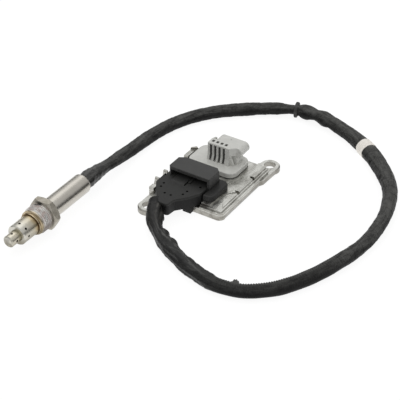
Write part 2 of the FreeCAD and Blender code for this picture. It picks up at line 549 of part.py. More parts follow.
def make_casting():
    """The die-cast housing: rim, terrace, platform, ears, posts and lip."""
    body = new_body("diecast_housing")
    outline = new_sketch(body, "rim_outline")
    rectangle(outline, "casting_left", "casting_right", "casting_near", "casting_far")
    rim = pad(body, outline, "rim", RIM_TOP)
    dressed(body, "Fillet", rim, "rim_corners", "casting_corner", upright)
    for name, place, length, slope in (
        ("ears", "0", "ear_height - ear_edge", None),
        ("ear_bevels", "ear_height - ear_edge", "ear_edge", "-45"),
    ):
        ears = new_sketch(body, name + "_outlines", at=place)
        circle(ears, "ear_across", "ear_along", "ear_radius")
        circle(ears, "-ear_across", "-ear_along", "ear_radius")
        pad(body, ears, name, length, slope=slope)
    arms = new_sketch(body, "arm_outlines")
    polygon(arms, [
        ("arm_inner", "casting_far - casting_corner"),
        ("casting_right - 2", "arm_root - 2"),
        ("casting_right", "arm_root"),
        ("arm_outer", "arm_root + 3"),
        ("ear_across + ear_radius - ear_edge", "ear_along - 1"),
        ("ear_across - ear_radius + ear_edge", "ear_along - 1"),
        ("arm_inner + 1.2", "casting_far + 4"),
    ])
    polygon(arms, [
        ("-arm_inner", "casting_near + casting_corner"),
        ("casting_left + 2", "-arm_root + 2"),
        ("casting_left", "-arm_root"),
        ("-arm_outer - 0.6", "-arm_root - 6"),
        ("-ear_across - ear_radius + ear_edge", "-ear_along + 1"),
        ("-ear_across + ear_radius - ear_edge", "-ear_along + 1"),
        ("-arm_inner - 1.2", "casting_near - 4"),
    ])
    pad(body, arms, "arms", "ear_height")
    terrace = new_sketch(body, "terrace_outline", at=RIM_TOP)
    rectangle(terrace, "casting_left + terrace_inset", "casting_right - terrace_inset",
              "casting_near + terrace_inset", "casting_far - terrace_inset")
    pad(body, terrace, "terrace", "rim_drop - terrace_drop", slope="-platform_slope")
    platform = new_sketch(body, "platform_outline", at=TERRACE_TOP)
    polygon(platform, [
        ("casting_left + platform_inset", "casting_near + platform_inset"),
        ("casting_right - platform_inset - platform_cut_across", "casting_near + platform_inset"),
        ("casting_right - platform_inset - platform_cut_across + 1", "casting_near + platform_cut_along"),
        ("casting_right - platform_inset - 3", "casting_near + platform_cut_along + 7"),
        ("casting_right - platform_inset", "casting_near + platform_cut_along + 8"),
        ("casting_right - platform_inset", "casting_far - platform_inset"),
        ("casting_left + platform_inset", "casting_far - platform_inset"),
    ])
    pad(body, platform, "platform", "terrace_drop", slope="-platform_slope")
    step = new_sketch(body, "corner_step_outline", at=TERRACE_TOP)
    polygon(step, [
        ("casting_right - platform_inset - platform_cut_across + 1", "casting_near + platform_cut_along + 1"),
        ("casting_right - platform_inset", "casting_near + corner_step_near"),
        ("casting_right - platform_inset", "casting_near + platform_cut_along + 9"),
        ("casting_right - platform_inset - 3", "casting_near + platform_cut_along + 8"),
    ])
    pad(body, step, "corner_step", "corner_step_height", slope="-platform_slope")
    webs = new_sketch(body, "web_outlines")
    for sign, edge in (("", "casting_far"), ("-", "casting_near")):
        middle = f"({sign}1) * (ear_across - web_offset)"
        polygon(webs, [
            (f"{middle} - web_thickness / 2", f"{edge} - ({sign}1) * platform_inset"),
            (f"{middle} + web_thickness / 2", f"{edge} - ({sign}1) * platform_inset"),
            (f"{middle} + web_thickness / 2", f"({sign}1) * (ear_along - ear_radius)"),
            (f"{middle} - web_thickness / 2", f"({sign}1) * (ear_along - ear_radius)"),
        ])
    pad(body, webs, "webs", BAY_FLOOR)
    fins = new_sketch(body, "post_outlines")
    for number in range(2):
        middle = f"fin_near + {number} * fin_pitch"
        rectangle(fins, "casting_left - fin_reach", "casting_left + 1",
                  f"{middle} - fin_thickness / 2", f"{middle} + fin_thickness / 2")
    pad(body, fins, "posts", "fin_height", slope="-fin_draft")
    lip = new_sketch(body, "lip_outline")
    polygon(lip, [
        ("casting_left + lip_thickness", "lip_near"),
        ("casting_left + lip_thickness", "lip_far - lip_bend"),
        ("casting_left + lip_thickness * 2", "lip_far - lip_bend * 0.4"),
        ("casting_left + lip_thickness * 0.7", "lip_far"),
        ("casting_left - lip_thickness * 0.7", "lip_far - lip_bend * 0.75"),
        ("casting_left - lip_thickness * 0.7", "lip_near"),
    ])
    pad(body, lip, "lip", "lip_height")
    tab = new_sketch(body, "lip_tab_outline", at="lip_height")
    polygon(tab, [
        ("casting_left + lip_thickness * 2", "lip_far - lip_bend * 0.4"),
        ("casting_left + lip_thickness * 0.7", "lip_far"),
        ("casting_left - lip_thickness * 0.7", "lip_far - lip_bend * 0.75"),
        ("casting_left - lip_thickness * 0.7", "lip_far - lip_bend * 0.75 - lip_tab / 2"),
        ("casting_left + lip_thickness", "lip_far - lip_bend * 0.4 - lip_tab / 2"),
    ])
    pad(body, tab, "lip_tab", "lip_tab_rise", slope="-fin_draft")
    doc.recompute()
    bay = new_sketch(body, "bay_outline", at="platform_height + 2")
    rectangle(bay, "casting_left - 0.1", "plug_right + bay_gap",
              "casting_near - 1", "shroud_near - header_lap")
    pocket(body, bay, "plug_bay", f"platform_height + 2 - {BAY_FLOOR}")
    low = new_sketch(body, "low_post_outline")
    rectangle(low, "casting_left - low_post_reach", "casting_left + low_post_width",
              "casting_near - low_post_depth", "casting_near + fin_thickness")
    pad(body, low, "low_post", "low_post_height")
    notches = new_sketch(body, "notch_outlines", at="platform_height + 1")
    for number in range(2):
        middle = f"notch_near + {number} * notch_pitch"
        polygon(notches, [
            ("casting_right - platform_inset - notch_depth", f"{middle} + notch_width / 4"),
            ("casting_right - platform_inset - notch_depth / 2", f"{middle} - notch_width / 2"),
            ("casting_right - platform_inset + 0.6", f"{middle} - notch_width / 2"),
            ("casting_right - platform_inset + 0.6", f"{middle} + notch_width / 2"),
            ("casting_right - platform_inset - notch_depth / 2", f"{middle} + notch_width / 2"),
        ])
    pocket(body, notches, "notches", "rim_drop + 1.2")
    holes = new_sketch(body, "fixing_hole_outlines")
    circle(holes, "ear_across", "ear_along", "ear_hole_radius")
    circle(holes, "-ear_across", "-ear_along", "ear_hole_radius")
    pocket(body, holes, "fixing_holes", f"{RIM_TOP} + 1", reverse=True)
    rebate = new_sketch(body, "plate_rebate_outline")
    rectangle(rebate, "casting_left + plate_margin", "casting_right",
              "plate_near - plate_side_gap", "plate_far + plate_side_gap")
    pocket(body, rebate, "plate_rebate", "plate_thickness + gasket_thickness", reverse=True)
    lower = new_sketch(body, "lower_chamber_outline")
    rectangle(lower, "chamber_left", "chamber_right", "chamber_near", "chamber_far")
    pocket(body, lower, "lower_chamber", BOARD_TOP, reverse=True)
    upper = new_sketch(body, "upper_chamber_outline")
    rectangle(upper, "chamber_left + ledge_width", "chamber_right - ledge_width",
              "chamber_near + ledge_width", "chamber_far - ledge_width")
    pocket(body, upper, "upper_chamber", CHAMBER_TOP, reverse=True)
    windows = new_sketch(body, "connector_window_outlines")
    rectangle(windows, "flange_left + spigot_inset - spigot_gap", "flange_right - spigot_inset + spigot_gap",
              "vehicle_pin_bend - spigot_half - spigot_gap", "vehicle_pin_bend + spigot_half + spigot_gap")
    rectangle(windows, *HEADER_WINDOW)
    pocket(body, windows, "connector_windows", "platform_height + 1", reverse=True)
    return body


def make_bottom_plate():
    """The sheet that closes the chamber, and the sealant bead on it."""
    left = "casting_left + plate_margin + plate_side_gap"
    right = "casting_right - plate_side_gap"
    plate = new_body("bottom_plate")
    outline = new_sketch(plate, "plate_outline")
    rectangle(outline, left, right, "plate_near", "plate_far")
    pad(plate, outline, "sheet", "plate_thickness")
    gasket = new_body("bottom_gasket")
    bead = new_sketch(gasket, "bead_outline", at="plate_thickness")
    rectangle(bead, left, f"{right} - plate_side_gap", "plate_near", "plate_far")
    rectangle(bead, f"{left} + gasket_width", f"{right} - plate_side_gap - gasket_width",
              "plate_near + gasket_width", "plate_far - gasket_width")
    pad(gasket, bead, "bead", "gasket_thickness")


def make_board():
    """The circuit board and the largest parts on its underside."""
    board = new_body("circuit_board")
    outline = new_sketch(board, "board_outline", at=f"{BOARD_TOP} - board_thickness")
    rectangle(outline, "chamber_left + board_gap", "chamber_right - board_gap",
              "chamber_near + board_gap", "chamber_far - board_gap")
    pad(board, outline, "laminate", "board_thickness")
    for label, across, along, half, height in [
        ("processor", "processor_across", "processor_along", "processor_side / 2", "processor_height"),
        ("heater_driver", "driver_across", "driver_along", "driver_side / 2", "driver_height"),
        ("signal_amplifier", "amplifier_across", "amplifier_along", "driver_side / 2", "processor_height"),
    ]:
        chip = new_body(label)
        base = new_sketch(chip, label + "_outline", at=f"{BOARD_TOP} - board_thickness")
        rectangle(base, f"{across} - {half}", f"{across} + {half}",
                  f"{along} - {half}", f"{along} + {half}")
        pad(chip, base, label + "_case", height, reverse=True)
    capacitor = new_body("filter_capacitor")
    base = new_sketch(capacitor, "capacitor_outline", at=f"{BOARD_TOP} - board_thickness")
    circle(base, "capacitor_across", "capacitor_along", "capacitor_radius")
    pad(capacitor, base, "can", "capacitor_height", reverse=True)


def make_seal(label, left, right, near, far, corner, hole):
    """A flat seal between the platform and a connector's flange."""
    seal = new_body(label)
    outline = new_sketch(seal, label + "_outline", at="platform_height")
    rectangle(outline, f"{left} + seal_inset", f"{right} - seal_inset",
              f"{near} + seal_inset", f"{far} - seal_inset")
    sheet_pad = pad(seal, outline, label + "_sheet", "seal_thickness")
    dressed(seal, "Fillet", sheet_pad, label + "_corners", f"{corner} - seal_inset", upright)
    opening = new_sketch(seal, label + "_opening", at="platform_height + seal_thickness")
    rectangle(opening, *hole)
    pocket(seal, opening, label + "_window", "seal_thickness")


def pin_bore(sketch, across, up):
    """The square outline of a hole for a contact pin, round its middle."""
    half = "(pin_side / 2 + pin_gap)"
    rectangle(sketch, f"{across} - {half}", f"{across} + {half}", f"{up} - {half}", f"{up} + {half}")


def make_vehicle_connector():
    """The grey vehicle connector: flange, ribbed tower and oval hood."""
    body = new_body("vehicle_connector")
    top = f"({SEAT} + flange_thickness)"
    outline = new_sketch(body, "flange_outline", at=SEAT)
    rectangle(outline, "flange_left", "flange_right", "flange_near", "flange_far")
    flange = pad(body, outline, "flange", "flange_thickness")
    corners = dressed(body, "Fillet", flange, "flange_corners", "flange_corner", upright)
    edges = dressed(body, "Fillet", corners, "flange_edges", "flange_edge",
                    lambda edge: level(edge, value(top)))
    spigot = new_sketch(body, "spigot_outline", at=SEAT)
    rectangle(spigot, "flange_left + spigot_inset", "flange_right - spigot_inset",
              "vehicle_pin_bend - spigot_half", "vehicle_pin_bend + spigot_half")
    pad(body, spigot, "spigot", f"{SEAT} - {CHAMBER_TOP}", reverse=True)
    side = new_sketch(body, "tower_side", plane="YZ", at="tower_left")
    polygon(side, [
        ("tower_foot", f"{top} - flange_edge"),
        ("tower_near", f"{top} + tower_knee"),
        ("tower_near", TOWER_TOP),
        ("socket_back", TOWER_TOP),
        ("socket_back", f"{top} - flange_edge"),
    ])
    tower = pad(body, side, "tower", "tower_right - tower_left")
    dressed(body, "Fillet", tower, "tower_edges", "tower_edge",
            lambda edge: level(edge, value(TOWER_TOP)) and edge.BoundBox.XLength > edge.BoundBox.YLength
            and edge.BoundBox.YMax < value("tower_near") + 0.1)
    wall = new_sketch(body, "side_wall_side", plane="YZ", at="tower_left")
    polygon(wall, [
        ("socket_back - 1", f"{top} - flange_edge"),
        ("socket_back - 1", TOWER_TOP),
        ("side_wall_far - side_wall_drop", f"{TOWER_TOP} - side_wall_drop / 2"),
        ("side_wall_far", f"{TOWER_TOP} - side_wall_drop"),
        ("side_wall_far", f"{top} - flange_edge"),
    ])
    pad(body, wall, "side_wall_plate", "side_wall")
    pedestal = new_sketch(body, "pedestal_outline", at=f"{top} - flange_edge")
    rectangle(pedestal, "hood_left + 2.5", "pedestal_right",
              "vehicle_pin_bend - pin_side / 2 - pedestal_wall", "pedestal_far")
    pad(body, pedestal, "pedestal", f"{SOCKET_MIDDLE} - {top} + flange_edge")
    hood = new_sketch(body, "hood_outline", plane="XZ", at="hood_near")
    obround(hood, "hood_left", "hood_right", f"{TOWER_TOP} - hood_height", TOWER_TOP)
    pad(body, hood, "hood", "hood_far - hood_near", reverse=True)
    shoulder = new_sketch(body, "shoulder_outline", at=f"{TOWER_TOP} - shoulder_height")
    polygon(shoulder, [
        ("tower_right - 1", "hood_near + 1"),
        ("tower_right - 1", "tower_near + shoulder_setback"),
        ("tower_right", "tower_near + shoulder_setback"),
        ("hood_right - hood_height / 2", "hood_near"),
        ("hood_right - hood_height / 2", "hood_near + 1"),
    ])
    pad(body, shoulder, "shoulder", "shoulder_height")
    right_gusset = new_sketch(body, "right_gusset_side", plane="XZ",
                              at="tower_near + gusset_place + gusset_thickness")
    polygon(right_gusset, [
        ("tower_right - 1", f"{top} - flange_edge"),
        ("tower_right + gusset_reach", f"{top} - flange_edge"),
        ("tower_right + gusset_reach", f"{top} + gusset_toe"),
        ("tower_right", f"{top} + gusset_rise"),
        ("tower_right - 1", f"{top} + gusset_rise"),
    ])
    pad(body, right_gusset, "right_gusset", "gusset_thickness")
    left_gusset = new_sketch(body, "left_gusset_side", plane="XZ",
                             at="tower_near + gusset_left_place + gusset_thickness")
    polygon(left_gusset, [
        ("tower_left + 1", f"{top} - flange_edge"),
        ("tower_left + 1", f"{top} + gusset_left_rise"),
        ("tower_left", f"{top} + gusset_left_rise"),
        ("tower_left - gusset_left_reach", f"{top} + gusset_toe"),
        ("tower_left - gusset_left_reach", f"{top} - flange_edge"),
    ])
    pad(body, left_gusset, "left_gusset", "gusset_thickness")
    socket = new_sketch(body, "socket_outline", plane="XZ", at="socket_back")
    obround(socket, "hood_left + hood_wall", "hood_right - hood_wall",
            f"{TOWER_TOP} - hood_height + hood_wall", f"{TOWER_TOP} - hood_wall")
    pocket(body, socket, "socket", "hood_far - socket_back + 1")
    slots = new_sketch(body, "slot_side", plane="YZ", at="slot_first - slot_width / 2")
    polygon(slots, [
        ("tower_foot - 1", f"{top} + slot_sill"),
        ("tower_foot + slot_depth", f"{top} + slot_sill"),
        ("tower_near + slot_depth", f"{top} + tower_knee"),
        ("tower_near + slot_depth", f"{TOWER_TOP} - slot_roof"),
        ("tower_foot - 1", f"{TOWER_TOP} - slot_roof"),
    ])
    slot = pocket(body, slots, "slot", "slot_width", reverse=True)
    across = new_sketch(body, "row_direction")
    row_of(body, slot, across, "slot_row", "slot_pitch", 4)
    window = new_sketch(body, "window_outline", at=TOWER_TOP)
    rectangle(window, "slot_first - slot_width / 2", "slot_first + slot_width / 2",
              "window_near", "window_near + window_length")
    opening = pocket(body, window, "window", "window_depth")
    row_of(body, opening, across, "window_row", "slot_pitch", 4)
    legs = new_sketch(body, "pin_leg_outline", at=CHAMBER_TOP)
    pin_bore(legs, "vehicle_pin_first", "vehicle_pin_bend")
    leg = pocket(body, legs, "pin_leg_hole",
                 f"{SOCKET_MIDDLE} + pin_side / 2 + pin_gap - {CHAMBER_TOP}", reverse=True)
    row_of(body, leg, across, "pin_leg_row", "slot_pitch", 5)
    arms = new_sketch(body, "pin_arm_outline", plane="XZ", at="vehicle_pin_bend - pin_side / 2 - pin_gap")
    pin_bore(arms, "vehicle_pin_first", SOCKET_MIDDLE)
    arm = pocket(body, arms, "pin_arm_hole", "socket_back - vehicle_pin_bend + 1")
    row_of(body, arm, across, "pin_arm_row", "slot_pitch", 5)


def make_pins(label, count, first, pitch, bend, tip, height, sign):
    """Square contact pins bent from the board into a connector."""
    half = "pin_side / 2"
    for number in range(count):
        pin = new_body(f"{label}_{number + 1}")
        middle = f"{first} + {number} * {pitch}"
        side = new_sketch(pin, f"{label}_{number + 1}_side", plane="YZ", at=f"{middle} - {half}")
        polygon(side, [
            (f"{bend} - ({sign}) * {half}", BOARD_TOP),
            (f"{bend} + ({sign}) * {half}", BOARD_TOP),
            (f"{bend} + ({sign}) * {half}", f"{height} - {half}"),
            (tip, f"{height} - {half}"),
            (tip, f"{height} + {half}"),
            (f"{bend} - ({sign}) * {half}", f"{height} + {half}"),
        ])
        pad(pin, side, f"{label}_{number + 1}_wire", "pin_side")


def header_outline(inset):
    """The header flange's outline, which leaves the bay of the plug open."""
    return [
        (f"header_left + {inset}", f"header_far - {inset}"),
        (f"header_left + {inset}", f"shroud_near - header_lap + {inset}"),
        (f"plug_right + bay_gap + {inset}", f"shroud_near - header_lap + {inset}"),
        (f"plug_right + bay_gap + {inset}", f"header_near + {inset}"),
        (f"header_right - {inset}", f"header_near + {inset}"),
        (f"header_right - {inset}", f"header_far - {inset}"),
    ]


def header_corner_edge(edge):
    """Whether an edge is one of the header flange's rounded corners."""
    margin = value("seal_inset") + 0.1
    if upright(edge, left=value("header_right") - margin):
        return True
    return upright(edge, right=value("header_left") + margin, near=value("header_far") - margin)


def make_header_seal():
    """The flat seal between the platform and the sensor header."""
    seal = new_body("sensor_header_seal")
    outline = new_sketch(seal, "header_seal_outline", at="platform_height")
    polygon(outline, header_outline("seal_inset"))
    sheet_pad = pad(seal, outline, "header_seal_sheet", "seal_thickness")
    dressed(seal, "Fillet", sheet_pad, "header_seal_corners", "header_corner - seal_inset",
            header_corner_edge)
    opening = new_sketch(seal, "header_seal_opening", at="platform_height + seal_thickness")
    rectangle(opening, *HEADER_WINDOW)
    pocket(seal, opening, "header_seal_window", "seal_thickness")


def make_header():
    """The black sensor header: flange, shroud over the plug and its mouth."""
    body = new_body("sensor_header")
    top = f"({SEAT} + header_thickness)"
    outline = new_sketch(body, "header_flange_outline", at=SEAT)
    polygon(outline, header_outline("0"))
    flange = pad(body, outline, "header_flange", "header_thickness")
    corners = dressed(body, "Fillet", flange, "header_flange_corners", "header_corner", header_corner_edge)
    dressed(body, "Fillet", corners, "header_flange_edges", "header_edge",
            lambda edge: level(edge, value(top))
            and edge.BoundBox.XMin > value("header_right - header_corner") - 0.1)
    shroud = new_sketch(body, "shroud_outline", at=SEAT)
    polygon(shroud, [
        ("shroud_left", "shroud_near + shroud_bevel / 2"),
        ("shroud_left + shroud_bevel / 2", "shroud_near"),
        ("shroud_right", "shroud_near"),
        ("shroud_right", "shroud_far - shroud_bevel"),
        ("shroud_right - shroud_bevel", "shroud_far"),
        ("shroud_left + shroud_bevel * 1.7", "shroud_far"),
        ("shroud_left", "shroud_far - shroud_bevel"),
    ])
    walls = pad(body, shroud, "shroud", "shroud_height")
    dressed(body, "Fillet", walls, "shroud_edges", "shroud_edge",
            lambda edge: level(edge, value(SHROUD_TOP)))
    mouth = new_sketch(body, "mouth_outline", plane="XZ", at="mouth_back")
    rectangle(mouth, "shroud_left + shroud_wall", "shroud_right - shroud_wall",
              MOUTH_FLOOR, f"{SHROUD_TOP} - shroud_roof")
    pocket(body, mouth, "mouth", "mouth_back - shroud_near + 10", reverse=True)
    spigot = new_sketch(body, "header_spigot_outline", at=SEAT)
    rectangle(spigot, "shroud_left + shroud_wall", "shroud_right - shroud_wall",
              "header_pin_bend - header_spigot_half", "header_pin_bend + header_spigot_half")
    pad(body, spigot, "header_spigot", f"{SEAT} - {CHAMBER_TOP}", reverse=True)
    across = new_sketch(body, "header_row_direction")
    legs = new_sketch(body, "header_leg_outline", at=CHAMBER_TOP)
    pin_bore(legs, "header_pin_first", "header_pin_bend")
    leg = pocket(body, legs, "header_leg_hole",
                 f"{HEADER_PIN_HEIGHT} + pin_side / 2 + pin_gap - {CHAMBER_TOP}", reverse=True)
    row_of(body, leg, across, "header_leg_row", "header_pin_pitch", 8)
    arms = new_sketch(body, "header_arm_outline", plane="XZ", at="header_pin_bend + pin_side / 2 + pin_gap")
    pin_bore(arms, "header_pin_first", HEADER_PIN_HEIGHT)
    arm = pocket(body, arms, "header_arm_hole", "header_pin_bend - mouth_back + 1", reverse=True)
    row_of(body, arm, across, "header_arm_row", "header_pin_pitch", 8)


def make_plug():
    """The plug on the cable: body with nose and foot, cover and latch."""
    body = new_body("plug_body")
    split = f"{PLUG_TOP} - cover_thickness"
    outline = new_sketch(body, "plug_outline", at=PLUG_BOTTOM)
    flank = [
        ("plug_left", PLUG_SHOULDER),
        ("plug_left", "plug_shoulder - 3.5"),
        ("plug_flank_left", "plug_flank"),
        ("plug_tip_left", "plug_tip"),
        ("plug_tip_right", "plug_tip"),
        ("plug_neck_right", "plug_neck"),
        ("plug_waist_right", "plug_waist"),
        ("plug_right", "plug_shoulder"),
        ("plug_right", PLUG_SHOULDER),
    ]
    polygon(outline, flank)
    shell = pad(body, outline, "shell", "plug_height - cover_thickness")
    dressed(body, "Fillet", shell, "shell_corners", "plug_corner",
            lambda edge: upright(edge, far=value(PLUG_SHOULDER) - 1))
    nose = new_sketch(body, "nose_outline", plane="XZ", at=f"{PLUG_SHOULDER} - nose_root")
    rectangle(nose, "shroud_left + shroud_wall + nose_gap", "shroud_right - shroud_wall - nose_gap",
              MOUTH_FLOOR, split)
    pad(body, nose, "nose", f"{NOSE_FRONT} - {PLUG_SHOULDER} + nose_root", reverse=True)
    foot = new_sketch(body, "foot_outline", at=PLUG_BOTTOM)
    rectangle(foot, "foot_left", "foot_left + foot_width", "foot_far - foot_length", "foot_far")
    pad(body, foot, "foot", f"{PLUG_BOTTOM} - foot_bottom", reverse=True)
    across = new_sketch(body, "plug_row_direction")
    hole = new_sketch(body, "terminal_hole_outline", plane="XZ", at=NOSE_FRONT)
    pin_bore(hole, "header_pin_first", HEADER_PIN_HEIGHT)
    bore = pocket(body, hole, "terminal_hole", f"{NOSE_FRONT} - header_pin_tip + nose_root", reverse=True)
    row_of(body, bore, across, "terminal_hole_row", "header_pin_pitch", 8)
    along_cable(body, "Additive", "cable_collar", "cable_diameter / 2 + seat_gap + collar_wall",
                "collar_reach", "collar_depth")
    along_cable(body, "Subtractive", "cable_seat", "cable_diameter / 2 + seat_gap",
                "collar_reach * 5", "0")
    cover = new_body("plug_cover")
    lid = new_sketch(cover, "cover_outline", at=split)
    polygon(lid, flank)
    plate = pad(cover, lid, "cover_plate", "cover_thickness")
    rounded = dressed(cover, "Fillet", plate, "cover_corners", "plug_corner",
                      lambda edge: upright(edge, far=value(PLUG_SHOULDER) - 1))
    dressed(cover, "Fillet", rounded, "cover_edges", "plug_edge",
            lambda edge: level(edge, value(PLUG_TOP)))
    tongue = new_sketch(cover, "cover_nose_outline", at=split)
    rectangle(tongue, "shroud_left + shroud_wall + nose_gap", "shroud_right - shroud_wall - nose_gap",
              f"{PLUG_SHOULDER} - nose_root", NOSE_FRONT)
    pad(cover, tongue, "cover_nose", "cover_thickness")
    latch = new_sketch(cover, "latch_side", plane="YZ", at="latch_middle - latch_width / 2")
    polygon(latch, [
        ("latch_near", f"{PLUG_TOP} - latch_root"),
        ("latch_far", f"{PLUG_TOP} - latch_root"),
        ("latch_far", f"{PLUG_TOP} + latch_rise"),
        ("latch_far - 3", f"{PLUG_TOP} + catch_height"),
        ("latch_far - 4.5", f"{PLUG_TOP} + catch_height"),
        ("latch_far - 4.5", f"{PLUG_TOP} + latch_rise"),
        ("latch_near + 2.5", f"{PLUG_TOP} + latch_rise"),
    ])
    pad(cover, latch, "latch_tongue", "latch_width")
    rail = new_sketch(cover, "rail_outline", at=f"{PLUG_TOP} - latch_root")
    rail_left = "latch_middle + latch_width / 2 + slit_width"
    rectangle(rail, rail_left, f"{rail_left} + rail_width", "rail_near", f"{NOSE_FRONT} - 1")
    pad(cover, rail, "rail", "latch_root + rail_rise")
    slits = new_sketch(cover, "slit_outlines", at=PLUG_TOP)
    for sign, near in (("-", "rail_near"), ("+", "latch_near + 1")):
        edge = f"latch_middle {sign} (latch_width / 2 + slit_width / 2)"
        rectangle(slits, f"{edge} - slit_width / 2", f"{edge} + slit_width / 2", near, "latch_far - 1")
    pocket(cover, slits, "slits", "slit_depth")
    dimples = new_sketch(cover, "dimple_outlines", at=PLUG_TOP)
    for reach, along in DIMPLES:
        circle(dimples, f"dimple_middle - {reach}", along, "dimple_radius")
        circle(dimples, f"dimple_middle + {reach}", along, "dimple_radius")
    pocket(cover, dimples, "dimples", "dimple_depth")
    along_cable(cover, "Subtractive", "collar_recess", "cable_diameter / 2 + seat_gap * 2 + collar_wall",
                "collar_reach * 5", "collar_depth + seat_gap")


def make_probe():
    """The probe's turned pieces, each built round its own vertical axis."""
    across = "probe_across"
    height = "nut_flats / 2"

    def turned_part(label, corners):
        body = new_body(label)
        body.setExpression("Placement.Base.x", bound(across))
        body.setExpression("Placement.Base.z", bound(height))
        profile = new_sketch(body, label + "_profile")
        polygon(profile, corners)
        turned(body, profile, label + "_turning")
        return body, profile

    neck_far = "nut_far + nut_end_gap"
    collar_near = "nut_near - nut_end_gap - collar_length"
    inner = "core_radius + inner_gap"
    turned_part("probe_shell", [
        (inner, f"{collar_near} + guard_wall"),
        ("tip_radius + inner_gap", f"{collar_near} + guard_wall"),
        ("tip_radius + inner_gap", collar_near),
        ("collar_radius - collar_step", collar_near),
        ("collar_radius - collar_step", f"{collar_near} + collar_length * 0.45"),
        ("collar_radius", f"{collar_near} + collar_length * 0.55"),
        ("collar_radius", f"{collar_near} + collar_length"),
        (NECK_RADIUS, f"{collar_near} + collar_length"),
        (NECK_RADIUS, f"{REAR_CERAMIC_FAR} - 1"),
        (inner, f"{REAR_CERAMIC_FAR} - 1"),
    ])
    nut, nut_profile = turned_part("swivel_nut", [
        (f"{NECK_RADIUS} + nut_bore_gap", "nut_near"),
        ("thread_radius - thread_chamfer", "nut_near"),
        ("thread_radius", "nut_near + thread_chamfer"),
        ("thread_radius", "nut_hex - relief_length - thread_relief"),
        ("thread_radius - thread_relief", "nut_hex - relief_length"),
        ("thread_radius - thread_relief", "nut_hex"),
        ("nut_flats / 2 - 0.2", "nut_hex"),
        ("nut_flats / sqrt(3)", "nut_hex + nut_bevel"),
        ("nut_flats / sqrt(3)", "nut_far - nut_bevel"),
        ("nut_flats / 2 - 0.2", "nut_far"),
        (f"{NECK_RADIUS} + nut_bore_gap", "nut_far"),
    ])
    flats = new_sketch(nut, "flat_outline")
    rectangle(flats, "nut_flats / 2", "nut_flats", "nut_hex - 0.1", "nut_far + 0.1")
    flats.setExpression("AttachmentOffset.Base.z", bound("-nut_flats"))
    flat = pocket(nut, flats, "flat", "nut_flats * 2", reverse=True)
    ring_of(nut, flat, nut_profile, "flats", 6)
    nut.Placement.Rotation = FreeCAD.Rotation(FreeCAD.Vector(0, 1, 0), 30)
    guard, profile = turned_part("outer_protection_tube", [
        ("guard_radius - guard_wall", "guard_near + guard_wall"),
        ("tip_radius + inner_gap", "guard_near + guard_wall"),
        ("tip_radius + inner_gap", "guard_near"),
        ("guard_radius - tube_edge", "guard_near"),
        ("guard_radius", "guard_near + tube_edge"),
        ("guard_radius", collar_near),
        ("guard_radius - guard_wall", collar_near),
    ])
    gas = new_sketch(guard, "gas_hole_outline")
    circle(gas, "0", "guard_near + guard_hole_place", "guard_hole_radius")
    hole = pocket(guard, gas, "gas_hole", "guard_radius + 1", reverse=True)
    ring_of(guard, hole, profile, "gas_holes", 8)
    tip, profile = turned_part("inner_protection_tube", [
        ("0", "tip_near"),
        ("tip_radius - tube_edge", "tip_near"),
        ("tip_radius", "tip_near + tube_edge"),
        ("tip_radius", f"{collar_near} + guard_wall - inner_gap"),
        ("tip_radius - guard_wall", f"{collar_near} + guard_wall - inner_gap"),
        ("tip_radius - guard_wall", "tip_near + guard_wall"),
        ("0", "tip_near + guard_wall"),
    ])
    side = new_sketch(tip, "tip_hole_outline")
    circle(side, "0", "tip_near + tip_hole_place", "guard_hole_radius")
    hole = pocket(tip, side, "tip_hole", "tip_radius + 1", reverse=True)
    ring_of(tip, hole, profile, "tip_holes", 4)
    bore = "sleeve_radius - sleeve_wall"
    turned_part("outer_sleeve", [
        (bore, neck_far),
        ("sleeve_radius - sleeve_edge / 2", neck_far),
        ("sleeve_radius", f"{neck_far} + sleeve_edge"),
        ("sleeve_radius", "sleeve_far - sleeve_edge * 2"),
        ("sleeve_radius - sleeve_edge / 3", "sleeve_far - sleeve_edge"),
        ("sleeve_radius - sleeve_edge", "sleeve_far"),
        (bore, "sleeve_far"),
    ])
    start = f"{collar_near} + collar_length"
    talc = f"{start} + front_ceramic_length"
    rear = f"{talc} + talc_length"
    slot = "element_thickness / 2 + inner_gap"
    channel_half = "element_width / 2 + inner_gap"
    for label, near, far in [
        ("front_ceramic", start, talc),
        ("talc_seal", talc, rear),
        ("rear_ceramic", rear, REAR_CERAMIC_FAR),
    ]:
        body, profile = turned_part(label, [
            ("0", near), ("core_radius", near), ("core_radius", far), ("0", far),
        ])
        channel = new_sketch(body, label + "_channel", plane="XZ", at=near)
        rectangle(channel, f"-({channel_half})", channel_half, f"-({slot})", slot)
        pocket(body, channel, label + "_slot", f"{far} - ({near}) + 1")
    body, profile = turned_part("contact_holder", [
        ("0", HOLDER_NEAR),
        (f"{NECK_RADIUS} - inner_gap", HOLDER_NEAR),
        (f"{NECK_RADIUS} - inner_gap", "sleeve_far - grommet_length"),
        ("0", "sleeve_far - grommet_length"),
    ])
    channel = new_sketch(body, "holder_channel", plane="XZ", at=HOLDER_NEAR)
    rectangle(channel, f"-({channel_half})", channel_half, f"-({slot})", slot)
    pocket(body, channel, "holder_slot", "holder_length * 0.6")
    element = new_body("sensing_element")
    element.setExpression("Placement.Base.x", bound(across))
    element.setExpression("Placement.Base.z", bound(height))
    section = new_sketch(element, "element_section", plane="XZ", at="element_near")
    rectangle(section, "-element_width / 2", "element_width / 2",
              "-element_thickness / 2", "element_thickness / 2")
    pad(element, section, "element_bar", f"{HOLDER_NEAR} + holder_length * 0.6 - element_near", reverse=True)
    turned_part("cable_grommet", [
        ("0", "sleeve_far - grommet_length"),
        (NECK_RADIUS, "sleeve_far - grommet_length"),
        (NECK_RADIUS, "sleeve_far"),
        ("0", "sleeve_far"),
    ])


